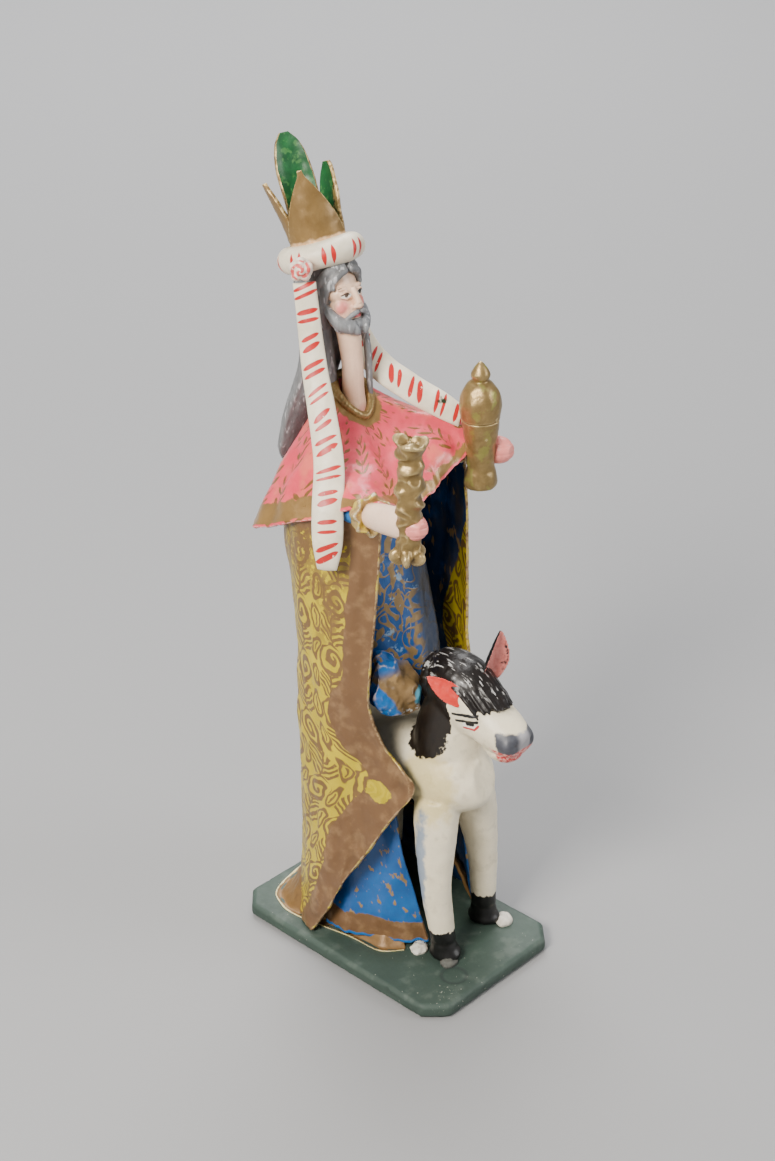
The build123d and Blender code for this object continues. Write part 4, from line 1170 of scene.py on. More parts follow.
def head():
    parts = [face_ball(0, 2.5, 5.5, 10.8, 11.5, 12.0), face_ball(0, -2.0, -6.0, 8.6, 9.0, 10.5),
             face_ball(0, -6.3, -13.2, 4.4, 4.0, 4.2), face_ball(0, -4.6, 2.0, 8.9, 6.6, 5.2),
             tube([headward(0, -10.4, 4.2), headward(0, -12.0, -0.2), headward(0, -13.3, -3.4)],
                  [(1.2, 1.5), (1.35, 1.7), (1.75, 1.6)], 24, 16, facing=(0, -1, 0)),
             face_ball(0, -12.6, -4.2, 1.9, 2.0, 1.5), face_ball(0, -10.7, -7.4, 2.9, 1.5, 0.9),
             face_ball(0, -10.2, -9.2, 2.5, 1.5, 1.0)]
    for side in (-1, 1):
        parts.append(face_ball(side * 1.9, -12.2, -4.3, 1.1, 1.5, 1.1))
        parts.append(face_ball(side * 4.8, -6.6, -3.6, 3.7, 3.0, 4.0))
        parts.append(face_ball(side * 4.1, -8.6, 4.3, 3.3, 1.7, 1.0))
        parts.append(face_ball(side * 4.2, -9.0, 1.2, 2.5, 1.4, 1.5))
        parts.append(tube([headward(side * 1.9, -10.6, 2.3), headward(side * 4.4, -11.0, 3.1),
                           headward(side * 6.8, -9.3, 2.0)],
                          [0.25, 0.5, 0.3], 20, 8))
        parts.append(tube([headward(side * 2.2, -10.3, 0.4), headward(side * 4.4, -10.5, -0.3),
                           headward(side * 6.6, -9.0, 0.5)],
                          [0.2, 0.4, 0.25], 20, 8))
        parts.append(face_ball(side * 10.8, 2.0, -0.5, 1.3, 2.4, 3.4))
    throat = [(MID, 36.5, 270, 7.2, 7.2), (MID, 36.5, 276, 6.1, 6.1), (MID, 36.7, 284, 5.3, 5.3),
              (MID, 37.2, 298, 5.1, 5.1), (MID, 40.5, 316, 5.9, 5.9), (MID, 43, 322, 6, 6)]
    parts.append(ellipse_tube(throat))
    obj = sculpt("head_and_neck_modelled", parts, 0.36, 5, 0.05, 5.0)
    p = Paint("skin")
    skin = p.tones(9.0, "#EABF9E", "#F4D3BA", detail=3.0)

    def stroke(a, b, radius, soft=0.12, ragged=0.1):
        return p.dab(headward(*a), headward(*b), radius, soft, True, ragged)

    cheek = p.dab(headward(6.2, -9.6, -3.4), headward(7.4, -8.6, -4.6), 2.9, 1.9, True, 0.5)
    colour = p.wash(cheek, 0.75, skin, "#E4696C")
    white = stroke((2.7, -10.6, 1.1), (6.0, -9.8, 1.2), 0.95, 0.12)
    colour = p.mix(white, colour, "#EDEAE2")
    iris = stroke((4.2, -10.5, 1.3), (4.4, -10.5, 1.3), 0.95)
    colour = p.mix(iris, colour, "#3B2A18")
    pupil = stroke((4.2, -10.6, 1.3), (4.4, -10.6, 1.3), 0.55)
    lash = p.either(stroke((1.9, -10.4, 1.2), (4.2, -10.8, 2.25), 0.34),
                    stroke((4.2, -10.8, 2.25), (7.2, -9.2, 1.5), 0.36))
    brow = p.either(stroke((2.0, -10.8, 4.4), (4.8, -10.4, 5.5), 0.36),
                    stroke((4.8, -10.4, 5.5), (7.8, -8.2, 4.4), 0.32))
    colour = p.mix(p.either(pupil, lash), colour, "#17110C")
    colour = p.mix(brow, colour, "#4C4744")
    lips = p.dab(headward(0, -12.0, -8.2), headward(2.2, -11.4, -8.2), 1.35, 0.3, True, 0.2)
    colour = p.mix(lips, colour, "#C6545A")
    nostril = stroke((1.0, -14.0, -5.6), (1.3, -13.6, -5.6), 0.5, 0.25)
    colour = p.wash(nostril, 0.6, colour, "#8A4A40")
    pit = p.blot((MID, 28, 274), (4, 5, 5), 0.2, 3.0, 0.3)
    colour = p.wash(pit, 0.55, colour, "#DB7A78")
    upright = p.noise(5.0, p.vector("MULTIPLY", p.place, (1.0, 1.0, 0.2)), 2.0)
    throat_line = p.below(upright, 0.36, 0.05)
    colour = p.wash(throat_line, 0.18, colour, "#B98C74")
    p.finish(colour, 0.38, bump=0.15, dirt_and_shade=0.25)
    piece(obj, "skin_paint", ["head_and_neck"], p.material)


def locks(count, make):
    """Overlapping strands; make(share) gives the strand's route and its radii."""
    strands = []
    for k in range(count):
        route, radii = make((k + 0.5) / count)
        strands.append(tube(route, radii, 36, 9))
    return strands


def hair_paint(name, low, high, streaks):
    p = Paint(name)
    combed = p.vector("MULTIPLY", p.place, (1.0, 1.0, 0.16))
    colour = p.mix(p.noise(2.2, combed, 3.0), low, high)
    light = p.both(p.above(p.noise(1.6, combed, 2.0), 0.62, 0.04), p.patches(12.0, 0.46, 0.06))
    colour = p.wash(light, streaks, colour, "#C3C4C7")
    return p.finish(colour, 0.45, bump=0.4, grain=1.1, dirt_and_shade=0.45, streak=(1.0, 1.0, 0.2))


def hair():
    rng = np.random.default_rng(3)
    spine = [(9, 58, 352, 8, 8), (9, 56, 340, 11.8, 11), (9, 53, 326, 12.4, 13),
             (9, 54, 312, 11.5, 9), (8, 56, 292, 10.5, 6.5),
             (6, 64, 268, 12, 4.5), (4, 71, 247, 10.5, 3.2), (3, 74, 240, 5.5, 2)]
    parts = [ellipse_tube(spine)]

    def strand(share):
        """From under the headband, down past the temple or the nape, to the back of the cape."""
        angle = math.radians(-22 + 224 * share)
        route, radii = [], []
        jitter = rng.normal(size=2) * 0.5
        fall = 1.0 if 0.12 < share < 0.88 else 0.80
        stop = 7 if fall == 1.0 else 5
        for i in range(1, stop):
            x, y, z, w, d = spine[i]
            reach = 1.0
            route.append((x + w * math.cos(angle) * reach + jitter[0],
                          y + d * math.sin(angle) * reach + jitter[1], z + rng.normal()))
            radii.append(1.9 + 0.4 * rng.random())
        radii[-1] = 0.7
        return route, radii

    parts += locks(34, strand)
    # the hairline round the temples and over the brow, left open for the face
    for side in (-1, 1):
        parts.append(tube([headward(side * 1.0, -9.6, 12.4), headward(side * 6.0, -8.4, 10.6),
                           headward(side * 9.6, -4.2, 6.0),
                           headward(side * 10.6, -1.4, 0.0), headward(side * 10.8, 0.6, -6.5),
                           headward(side * 9.2, 2.0, -13)],
                          [1.6, 2.1, 2.2, 2.1, 2.0, 1.3], 50, 10))
        parts.append(tube([headward(side * 0.5, -8.0, 14.5), headward(side * 7.4, -5.0, 12.5),
                           headward(side * 11.0, 0.5, 5.5),
                           headward(side * 11.4, 3.5, -4.0), headward(side * 10.2, 6, -15)],
                          [2.2, 2.6, 2.8, 2.6, 1.6], 50, 10))
        parts.append(tube([headward(side * 8.2, -6.2, 7.6), headward(side * 8.9, -6.6, 5.4),
                           headward(side * 8.0, -7.6, 4.6)],
                          [1.2, 1.3, 0.7], 16, 8))
        for k in range(3):
            x = side * (7.6 + 1.8 * k)
            parts.append(tube([(MID + x, 47 + 3 * k, 318), (MID + x * 0.93, 44 + 3 * k, 300),
                               (MID + x * 0.95, 43 + 4 * k, 286),
                               (MID + x * 1.15, 48 + 4 * k, 279)], [1.9, 2.1, 1.9, 0.9], 30, 9))
    parts.append(tube([(MID + 9.8, 41, 318), (MID + 8.4, 35.5, 302), (MID + 7.6, 33.5, 288),
                       (MID + 8.4, 33, 277)],
                      [2.0, 1.9, 1.7, 0.9], 30, 9))
    obj = sculpt("hair_modelled", parts, 0.55, 2, 0.12, 2.5)
    piece(obj, "hair_paint", ["hair"], hair_paint("hair", "#4E5052", "#8B8C8E", 0.75))


def beard():
    rng = np.random.default_rng(8)
    parts = [face_ball(0, -5.0, -13.5, 6.0, 5.6, 4.4), face_ball(0, -8.0, -12.8, 4.6, 4.4, 3.6),
             face_ball(0, -8.6, -14.6, 3.2, 3.2, 3.6)]
    for side in (-1, 1):
        parts.append(tube([headward(side * 9.9, -0.5, -1.5), headward(side * 9.4, -4.0, -7.0),
                           headward(side * 7.2, -7.2, -11.4),
                           headward(side * 3.0, -10.4, -14.0)], [1.5, 2.6, 3.3, 3.4], 30, 12))
        parts.append(tube([headward(side * 0.4, -12.9, -6.6), headward(side * 3.2, -12.0, -7.4),
                           headward(side * 5.9, -9.4, -9.6)],
                          [1.0, 1.25, 0.9], 20, 10))
        for k in range(9):
            t = (k + 0.5) / 9
            top = headward(side * (9.4 - 6.4 * t), -4.5 - 6.6 * t, -7.5 - 3.6 * t)
            drop = headward(side * (6.6 - 5.6 * t), -4.0 - 8.3 * t + rng.normal() * 0.3,
                            -15.0 - 3.4 * t + rng.normal() * 0.4)
            parts.append(tube([top, (top + drop) / 2 + unit(top - HEAD) * 1.6, drop],
                              [1.3, 1.5, 0.6], 20, 8))
    obj = sculpt("beard_modelled", parts, 0.45, 2, 0.1, 2.5)
    piece(obj, "hair_paint", ["beard"], hair_paint("beard", "#55585B", "#97999C", 0.9))


HAND_RIGHT = (vec(-31, -12, 249), vec(-34.5, -48, 255))
HAND_LEFT = (vec(52, 9, 250), vec(58.3, -19, 253.5))


def hand(name, ends, outward):
    """A closed mitten with its thumb over what it holds."""
    wrist, tip = ends
    shares = (-0.05, 0.12, 0.4, 0.7, 0.88, 1)
    sizes = ((4.6, 5.2), (5.8, 6.2), (6.2, 6.9), (6.3, 6.9), (5.6, 5.9), (2.8, 3.0))
    parts = [tube([wrist + (tip - wrist) * s for s in shares], sizes, 50, 26)]
    run = unit(tip - wrist)
    up = vec(0, 0, 1)
    side = unit(np.cross(run, up)) * outward
    base = wrist + (tip - wrist) * 0.45
    parts.append(tube([base + side * 4 + up * 4.5, base + side * 5 + up * 6.6 + run * 5,
                       base + side * 3.0 + up * 6.3 + run * 11],
                      [2.6, 2.8, 1.8], 24, 14))

    def fingers(p, n):
        away = (p - wrist) @ run / np.linalg.norm(tip - wrist)
        lines = np.exp(-(((p[:, 2] - wrist[2] - 4 * away + 6.5) % 3.6 - 1.8) / 0.35) ** 2)
        return -0.28 * lines * np.clip((away - 0.6) * 5, 0, 1)

    obj = sculpt(f"{name}_modelled", parts, 0.5, 6, 0.12, 5.0, fingers)
    p = Paint(name)
    skin = p.tones(8.0, "#EBC4A6", "#F5D9C4")
    away = p.vector("DOT_PRODUCT", p.vector("SUBTRACT", p.place, tuple(tip)), tuple(run))
    away = p.ragged(away, 2.0, 4.0)
    pink = p.above(away, -8.5, 0.8)
    colour = p.wash(pink, 0.9, skin, p.tones(4.0, "#E8706E", "#F2938A"))
    p.finish(colour, 0.36, bump=0.2, dirt_and_shade=0.3)
    piece(obj, "skin_paint", [name], p.material)


def ruffle(name, elbow, wrist):
    """Gathered end of a sleeve round the wrist."""
    elbow, wrist = vec(*elbow), vec(*wrist)
    run = unit(wrist - elbow)
    across = unit(np.cross(run, (0, 0, 1)))
    up = np.cross(across, run)
    rows = []
    for t, r, wave in ((0.84, 6.6, 0.3), (0.92, 7.8, 0.6), (1.0, 8.4, 1.0), (1.06, 9.2, 1.7),
                       (1.10, 8.6, 1.2), (1.05, 6.2, 0.3)):
        row = []
        for k in range(60):
            a = 2 * math.pi * k / 60
            radius = r + wave * math.sin(7 * a + 1.3 * math.sin(a)) * 0.7
            at = elbow + (wrist - elbow) * t + run * 0.5 * wave * math.sin(7 * a + 2)
            row.append(at + across * radius * math.cos(a) + up * radius * math.sin(a))
        rows.append(row)
    rows = catmull(rows, 26)
    points = np.concatenate([rows.reshape(-1, 3), [elbow + (wrist - elbow) * 0.8],
                             [elbow + (wrist - elbow) * 1.04]])
    faces = grid_faces(26, 60, True)
    last = 25 * 60
    faces += [(26 * 60, (k + 1) % 60, k) for k in range(60)]
    faces += [(last + k, last + (k + 1) % 60, 26 * 60 + 1) for k in range(60)]
    obj = sculpt(f"{name}_ruffle", [(points, faces)], 0.55, 2, 0.25, 3.0)
    p = Paint(f"{name}_ruffle")
    colour = p.tones(4.0, "#8D7547", "#C2A86C", detail=4.0)
    yellow = p.patches(5.0, 0.55, 0.04, detail=4.0)
    colour = p.wash(yellow, 0.8, colour, "#D8C448")
    p.finish(colour, 0.4, 0.3, bump=0.35, wear="#E7DFC8", wear_at=0.54)
    piece(obj, "gold_paint", [name], p.material)


def gift_roll():
    foot, top = vec(-35, -39.5, 239), vec(-35.5, -41, 295)
    shares = (-0.01, 0.03, 0.1, 0.2, 0.3, 0.55, 0.68, 0.8, 0.93, 1.0, 0.985)
    sizes = (4.0, 6.6, 5.6, 5.2, 5.6, 6.5, 5.9, 5.7, 6.5, 7.4, 4.5)
    line = [foot + (top - foot) * s for s in shares]
    points, faces = tube(line, sizes, 90, 40, facing=(0, -1, 0))

    def crush(p, n):
        high = (p[:, 2] - 239) / 56
        angle = np.arctan2(p[:, 1] + 40.3, p[:, 0] + 35.2)
        star = np.exp(-((high - 0.0) / 0.075) ** 2) * (2.1 * np.cos(5 * angle + 0.6) + 0.6)
        lip = np.exp(-((high - 1.0) / 0.05) ** 2) * (1.2 * np.cos(3 * angle + 1.0) + 0.3)
        crease = 1.1 * (1 - 2 * np.abs(fuzz(p * (1, 1, 1.5), 8.0, 5.0))) - 0.75
        bands = 0.55 * np.sin(p[:, 2] * 0.72
                              + 1.2 * np.sin(angle)) * np.clip((high - 0.3) * 4, 0, 1)
        return star + lip + crease * np.clip(1.2 - star, 0, 1) + bands + 0.25 * fuzz(p, 2.5)

    obj = sculpt("gift_roll_modelled", [(points, faces)], 0.5, 2, 0.0, 5.0, crush)
    piece(obj, "gold_paint", ["gift_roll"], gold_material("roll_gold"))


def urn():
    foot = vec(48, -9.0, 236.2)
    lean = math.radians(-2)
    axis = vec(math.sin(lean), 0, math.cos(lean))
    material = gold_material("urn_gold", 0.6)

    def lathe(name, node, profile):
        points, rows, sides = [], 70, 48
        side = np.cross(axis, (0, 1, 0))
        other = np.cross(axis, side)
        for r, z, _ in catmull([(r, z, 0) for r, z in profile], rows):
            for k in range(sides):
                a = 2 * math.pi * k / sides
                out = side * math.cos(a) + other * math.sin(a)
                points.append(foot + axis * z + max(r, 0.05) * out)
        last = (rows - 1) * sides
        faces = grid_faces(rows, sides, True) + [tuple(range(sides))[::-1],
                                                 tuple(last + k for k in range(sides))]

        def dents(p, n):
            return -0.75 * np.clip(fuzz(p * (1, 1, 0.8), 7.0, 9.0) - 0.1, 0, 1) + 0.3 * fuzz(p, 5.0)

        obj = sculpt(name, [(np.array(points), faces)], 0.5, 3, 0.12, 3.0, dents)
        piece(obj, "gold_paint", [node], material)

    lathe("urn_cup_modelled", "urn_cup",
          ((0, 0.4), (6.6, 0), (7.9, 1.2), (8.0, 3.4), (7.4, 7), (6.5, 11), (7.2, 20), (8.6, 30),
           (9.0, 33.5),
           (8.4, 34.8), (0, 35)))
    lathe("urn_lid_modelled", "urn_lid",
          ((0, 34.8), (8.6, 34.9), (9.4, 36.2), (10.0, 40), (9.9, 44), (8.8, 48), (6.6, 51.6),
           (4.4, 53.6),
           (3.9, 54.4), (4.5, 55.6), (4.7, 57), (3.9, 58.8), (2.6, 61), (1.0, 62.9), (0, 63.4)))


# --- scarf and crown

def ribbon(node, route, widths, thickness, facing, extra=None, phase=0.0):
    """A folded strip of cloth with barred paint on its outer side."""
    name = node + "_cloth"
    count, sides = 160, 36
    line = catmull(route, count)
    width = catmull([(w, 0, 0) for w in widths], count)[:, 0]
    run = np.gradient(line, axis=0)
    facing = vec(*facing)
    along = np.concatenate([[0], np.cumsum(np.linalg.norm(np.diff(line, axis=0), axis=1))])
    points, flat, front = [], [], []
    for i, centre in enumerate(line):
        d = unit(run[i])
        across = unit(np.cross(d, facing))
        out = np.cross(across, d)
        out = out if out @ facing > 0 else -out
        ends = min(1.0, math.sqrt(max(0.02, min(i, count - 1 - i) / 5)))
        for k in range(sides):
            a = 2 * math.pi * k / sides
            c, s = math.cos(a), math.sin(a)
            x = width[i] / 2 * math.copysign(abs(c) ** 0.75, c)
            crown = 0.9 * (1 - (2 * x / width[i]) ** 2)
            y = thickness / 2 * ends * math.copysign(abs(s) ** 0.8, s) + crown
            points.append(centre + across * x + out * y)
            flat.append((x, along[i] + phase))
            front.append(1.0 if s > -0.1 else 0.0)
    points = np.array(points)
    ripple = 0.35 * fuzz(points * (1, 1, 1), 7.0) + 0.15 * fuzz(points, 2.5)
    points = points + facing / np.linalg.norm(facing) * ripple[:, None]
    faces = grid_faces(count, sides, True) + [tuple(range(sides))[::-1],
                                              tuple((count - 1) * sides + k for k in range(sides))]
    obj = to_mesh(name, points, faces)
    mesh = obj.data
    layer = mesh.attributes.new("front", "FLOAT", "POINT")
    layer.data.foreach_set("value", np.array(front, np.float32))
    corner = np.zeros(len(mesh.loops), np.int32)
    mesh.loops.foreach_get("vertex_index", corner)
    mesh.uv_layers.new(name="Paint").data.foreach_set("uv",
                                                      np.array(flat, np.float32)[corner].ravel())
    material = scarf_material(name, extra)
    piece(obj, "scarf_cloth", [node], material)
    return obj


def ring_frame():
    normal = vec(0, math.sin(RING_TILT), math.cos(RING_TILT))
    return normal, vec(1, 0, 0), np.cross(normal, vec(1, 0, 0))


def scarf():
    normal, right, back = ring_frame()
    count, sides = 220, 40
    points = []
    for i in range(count):
        a = 2 * math.pi * i / count
        outward = right * math.cos(a) + back * math.sin(a)
        for k in range(sides):
            b = 2 * math.pi * k / sides
            r = 6.3 + 0.25 * math.sin(3 * a)
            points.append(RING_CENTRE + outward * (14.3 + r * math.cos(b))
                          + normal * r * 0.98 * math.sin(b))
    points = np.array(points)
    centres = RING_CENTRE + (points - RING_CENTRE) * 0.6
    swell = 0.45 * fuzz(points, 9.0) + 0.15 * fuzz(points, 3.0)
    points += (points - centres) / np.linalg.norm(points - centres,
                                                  axis=1)[:, None] * swell[:, None]
    faces = grid_faces(count, sides, True)
    faces += [((count - 1) * sides + k, (count - 1) * sides + (k + 1) % sides, (k + 1) % sides, k)
              for k in range(sides)]
    obj = to_mesh("scarf_ring_cloth", points, faces)
    p = Paint("scarf_ring")
    place = p.vector("SUBTRACT", p.place, tuple(RING_CENTRE))
    x = p.vector("DOT_PRODUCT", place, tuple(right))
    y = p.vector("DOT_PRODUCT", place, tuple(back))
    z = p.vector("DOT_PRODUCT", place, tuple(normal))
    angle = p.math("ARCTAN2", y, x)
    round_it = p.times(p.add(angle, 0.20), 20.0)
    inside, number = centred(p, round_it, 15.708)
    lean = p.blend(p.random(p.join(number, 1.0, 1.0)), -0.15, 0.15)
    inside = p.add(inside, p.times(z, lean))
    pair = p.size(p.less(p.size(inside), 2.2))
    taper = p.less(1.15, p.times(p.math("POWER", p.math("DIVIDE", p.add(z, 0.6), 4.4), 2.0), 1.15))
    radius = p.math("SQRT", p.add(p.times(x, x), p.times(y, y)))
    bars = p.both(p.below(pair, taper, 0.18), p.above(radius, 14.5, 0.3),
                  p.patches(1.8, 0.28, 0.05))
    ground = p.tones(9.0, "#DFD3B8", "#F6EDD8", detail=4.0)
    colour = p.mix(bars, ground, p.tones(3.0, "#B01418", "#D62A26"))
    p.finish(colour, 0.4, raised=bars, bump=0.3, dirt_and_shade=0.3)
    piece(obj, "scarf_cloth", ["scarf_ring"], p.material)

    knot_at = vec(-13.8, 46.0, 345.2)
    parts = [ball(knot_at, (5.2, 5.2, 5.0))]
    face = unit(vec(-0.75, -0.65, 0.12))
    side = unit(np.cross(face, (0, 0, 1)))
    up = np.cross(side, face)
    for k in range(5):
        a = 2 * math.pi * k / 5 + 0.3
        spot = knot_at + face * 2.2 + (side * math.cos(a) + up * math.sin(a)) * 3.2
        parts.append(ball(spot, (2.6, 2.4, 2.5)))
    parts.append(ball(knot_at + face * 4.2, (2.2, 2.2, 2.4)))
    obj = sculpt("scarf_knot_cloth", parts, 0.45, 2, 0.3, 2.5)
    p = Paint("scarf_knot")
    place = p.vector("SUBTRACT", p.place, tuple(knot_at))
    a, b = p.vector("DOT_PRODUCT", place, tuple(side)), p.vector("DOT_PRODUCT", place, tuple(up))
    radius = p.math("SQRT", p.add(p.times(a, a), p.times(b, b)))
    angle = p.math("ARCTAN2", b, a)
    petals = p.above(p.math("SINE", p.add(p.times(radius, 2.2), p.times(angle, 2.0))), -0.35, 0.3)
    blotch = p.both(petals, p.below(p.ragged(radius, 0.8, 1.6), 4.6, 0.4),
                    p.patches(2.4, 0.42, 0.06, detail=4.0))
    colour = p.mix(blotch, p.tones(5.0, "#D7C9B8", "#EDE3D4"), p.tones(2.0, "#CB2E2E", "#E5706A"))
    speck = p.dab(knot_at + face * -2.0 - side * 6.2 - up * 3.6, knot_at - side * 6.4 - up * 4.0,
                  1.2, 0.3)
    colour = p.mix(speck, colour, BLACK)
    p.finish(colour, 0.4, bump=0.3, dirt_and_shade=0.25)
    piece(obj, "scarf_cloth", ["scarf_knot"], p.material)

    ribbon("scarf_tail_right",
           ((-13, 45, 339), (-15, 40, 318), (-17.5, 34.5, 300), (-22.5, 25.5, 285), (-30, 14, 266),
            (-38.5, 6.5, 249), (-42.3, 3.1, 234.6), (-43.2, 2.8, 221)),
           (10.5, 11, 12, 13, 14, 14.5, 14, 9.0), 3.0, (-0.75, -0.55, 0.3), phase=3.0)

    def dark_patch_by_urn(p, colour):
        # a near-black green patch on the left tail beside the urn's lid
        blot = p.blot((41, 6, 277), (4.2, 6, 3.0), 0.45, 3.0, 0.08)
        return p.mix(blot, colour, "#22331F")

    ribbon("scarf_tail_left",
           ((24, 60, 341), (25, 57, 322), (24, 49, 305), (27, 38, 291), (34, 24, 281),
            (42, 11, 273), (48, 3, 267)),
           (9, 11, 13, 14, 14, 13, 10), 2.6, (-0.45, -0.6, 0.66), dark_patch_by_urn)


def crown():
    normal, right, back = ring_frame()
    foot = RING_CENTRE + normal * 6.2
    outside, inside = crown_outside_material(), crown_inside_material()

    def leaf_grid(azimuth, half_angle, height, power, lean, blunt, proud):
        rows = []
        for i in range(14):
            t = i / 13
            rise = -2.0 + (height + 2.0) * t
            grow = 12.6 + proud + 0.14 * max(0.0, rise) + lean * t * t
            width = half_angle * max(0.05, 1 - t ** power) ** blunt
            row = []
            for j in range(9):
                a = math.radians(azimuth + width * (-1 + 2 * j / 8))
                row.append(foot + normal * rise + (right * math.cos(a) + back * math.sin(a)) * grow)
            rows.append(row[::-1])
        return rows

    def leaf(node, azimuth, half_angle, height, power, lean, blunt, proud=0.0, inside=inside):
        obj = cloth(node + "_cloth", leaf_grid(azimuth, half_angle, height, power, lean, blunt,
                                               proud), 60, 40,
                    lambda p, u, v: 0.5 * fuzz(p, 9.0) + 0.15 * fuzz(p, 3.0), (outside, inside),
                    CLOTH, ragged=0.3)
        piece(obj, "crown_paint", [node])

    leaf("crown_leaf_front_right", 226, 76, 32, 1.0, -1.5, 1.0, 1.0)
    leaf("crown_leaf_front_left", 344, 38, 33, 3.2, -2.5, 0.5, 0.2,
         crown_inside_material(True))
    leaf("crown_leaf_back_left", 60, 36, 50, 4.5, -4.0, 0.5)
    leaf("crown_leaf_back_right", 149, 32, 30, 2.2, 1.5, 0.7, 0.2)
    rows = []
    for rise in (-2.0, 1.5, 5.0):
        row = []
        for j in range(24):
            a = math.radians(-15 * j)
            row.append(foot + normal * rise + (right * math.cos(a) + back * math.sin(a))
                       * (12.3 + 0.14 * rise))
        rows.append(row)
    band = cloth("crown_band_cloth", rows, 16, 120, lambda p, u, v: 0.3 * fuzz(p, 5.0),
                 (outside, inside), closed=True, ragged=0.3)
    piece(band, "crown_paint", ["crown_band"])


def collar():
    """Gilt cord along the neckline, dropping to a point in front."""
    line = catmull([vec(*p) + (0, 0, 0.6) for p in CAPE_NECK], 160, closed=True)
    parts = []
    for turn in range(2):
        cord = []
        for i, point in enumerate(line):
            a = 2 * math.pi * (26 * i / len(line) + turn / 2)
            out = unit(point - vec(MID, 37, point[2]))
            cord.append(point + out * 0.75 * math.cos(a) + vec(0, 0, 0.75 * math.sin(a)))
        loop = cord + cord[:2]
        parts.append(tube(loop, [1.5] * len(loop), 4 * len(loop), 10))
    obj = sculpt("collar_cord", parts, 0.4, 1, 0.15, 2.0)
    piece(obj, "gold_paint", ["collar"], gold_material("collar_gold"))


def plaster():
    p = Paint("plaster")
    colour = p.tones(3.0, "#BDB6A6", "#E8E4D8", detail=5.0)
    stain = p.patches(4.0, 0.6, 0.05, detail=4.0)
    colour = p.wash(stain, 0.4, colour, "#6C6A60")
    toe = p.blot((-11.5, -46.5, 9), (9, 9, 8), 0.3, 3.0, 0.1)
    colour = p.wash(toe, 0.9, colour, "#2C302E")
    p.finish(colour, 0.7, bump=0.5, grain=1.0)
    parts = []
    for x, y in ((-11.5, -46.5), (32.5, -45), (-14, -29), (-11.5, 41), (29.5, 41)):
        parts.append(ball((x, y, 8.2), (4.6, 4.2, 2.6)))
        parts.append(ball((x + 2.4, y + 1.8, 8.2), (3.0, 3.2, 2.2)))
        parts.append(ball((x - 2.2, y - 1.0, 8.2), (2.8, 2.4, 1.8)))

    def rough(q, n):
        return np.where(q[:, 2] > 8.6, 0.7 * fuzz(q, 2.2) + 0.3, 0)

    obj = sculpt("plaster_fillets_modelled", parts, 0.5, 2, 0.1, 2.0, rough)
    piece(obj, "plaster", ["plaster_fillets"], p.material)


# ------------------------------------------------------------------ parts kept as they are

def kept_parts():
    wire = plain_material("wire_iron", "#4A4642", "#7C776F", 0.35, 0.9, 0.2, 3.0)
    nail = plain_material("nail_iron", "#5A534B", "#8F8981", 0.4, 0.9, 0.3, 2.0)
    wood = plain_material("bare_wood", "#A58257", "#C9A878", 0.65, 0.0, 0.4, 4.0,
                          streak=(1.0, 1.0, 0.08))
    paper = plain_material("core_paper", "#B8AD97", "#D5CCB8", 0.8, 0.0, 0.5, 5.0)
    arm = plain_material("arm_blue", "#14599C", "#2A82CC", 0.5, 0.0, 0.35, 8.0)
    for name, material in (("horse_leg_wires", wire), ("arm_wire_right", wire),
                           ("arm_wire_left", wire), ("base_nails", nail),
                           ("armature_post", wood), ("neck_peg", wood), ("torso_core", paper),
                           ("arm_right", arm), ("arm_left", arm)):
        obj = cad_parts[name]
        for k in range(len(obj.material_slots)):
            obj.material_slots[k].material = material


# ------------------------------------------------------------------ studio

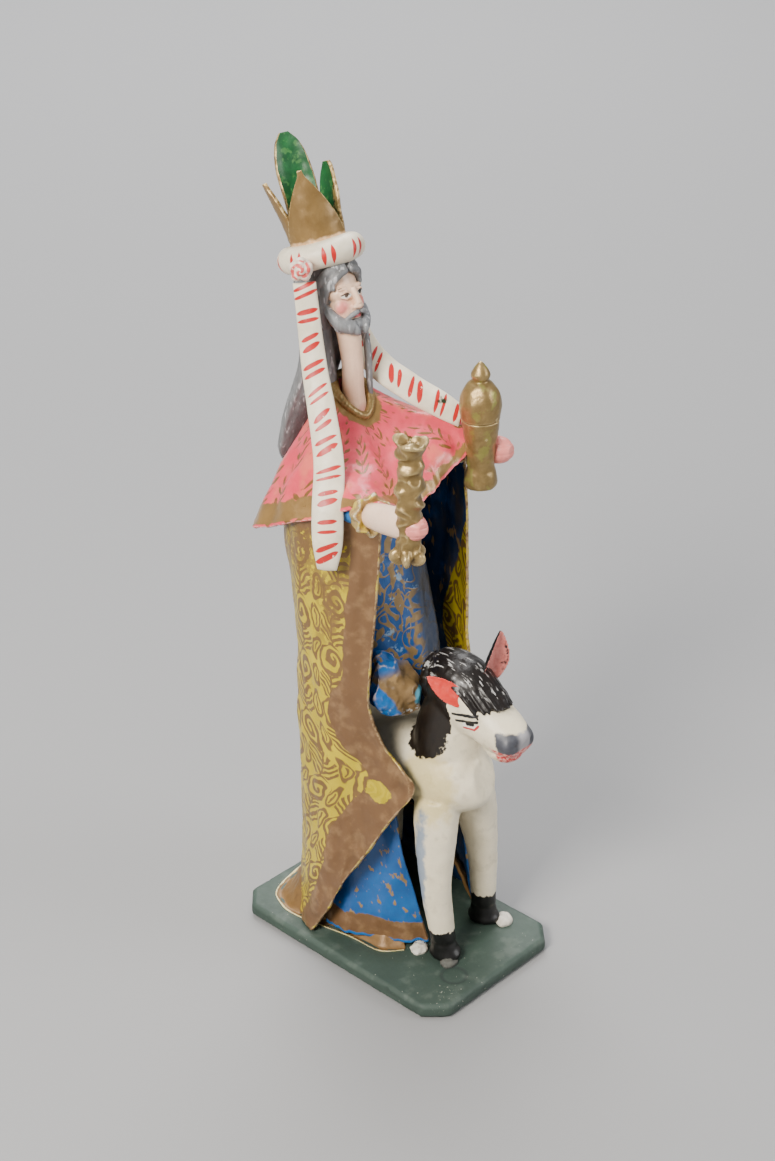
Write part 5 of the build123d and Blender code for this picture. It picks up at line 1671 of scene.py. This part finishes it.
def studio():
    corners = vec((-STUDIO_NEAR, -STUDIO_NEAR, 0), (STUDIO_NEAR, -STUDIO_NEAR, 0),
                  (STUDIO_NEAR, STUDIO_FAR, 0), (-STUDIO_NEAR, STUDIO_FAR, 0))
    floor = to_mesh("studio_floor", corners, [(0, 1, 2, 3)])
    p = Paint("studio_floor")
    p.shader.inputs["Base Color"].default_value = (0.30, 0.30, 0.305, 1)
    p.shader.inputs["Roughness"].default_value = 0.9
    p.shader.inputs["Specular IOR Level"].default_value = 0.1
    floor.data.materials.append(p.material)
    world = bpy.data.worlds.new("studio")
    world.use_nodes = True
    world.node_tree.nodes["Background"].inputs[0].default_value = (1.0, 1.0, 1.0, 1)
    world.node_tree.nodes["Background"].inputs[1].default_value = 0.32
    bpy.context.scene.world = world
    for name, place, size, power in (("key", (-1.25, -0.2, 1.1), 0.55, 44),
                                     ("fill", (0.9, -1.4, 0.9), 0.7, 17),
                                     ("top", (0.1, 0.5, 1.9), 0.8, 18),
                                     ("backdrop", (1.6, 1.8, 2.2), 2.5, 165)):
        light = bpy.data.lights.new(name, "AREA")
        light.size = size
        light.energy = power
        light.color = (1.0, 0.95, 0.87) if name == "key" else (1.0, 1.0, 1.0)
        obj = bpy.data.objects.new(name, light)
        obj.location = place
        aim = Vector((1.6, 2.2, 0.0)) if name == "backdrop" else Vector((0.0, 0.0, 0.2))
        obj.rotation_euler = (aim - Vector(place)).to_track_quat("-Z", "Y").to_euler()
        bpy.context.scene.collection.objects.link(obj)
    camera = bpy.data.cameras.new("camera")
    camera.lens = LENS
    camera.sensor_width = SENSOR
    obj = bpy.data.objects.new("camera", camera)
    obj.location = CAMERA_PLACE
    obj.rotation_euler = (math.radians(90 - CAMERA_DOWN), 0, math.radians(CAMERA_TURN))
    bpy.context.scene.collection.objects.link(obj)
    bpy.context.scene.camera = obj


board()
horse()
horse_ears()
forelock()
robe()
hem_fold()
head()
hair()
beard()
hand("hand_right", HAND_RIGHT, -1)
hand("hand_left", HAND_LEFT, 1)
ruffle("sleeve_right", (-22, 24, 238), HAND_RIGHT[0])
ruffle("sleeve_left", (41, 30, 242), HAND_LEFT[0])
gift_roll()
urn()
scarf()
crown()
collar()
plaster()
kept_parts()
studio()
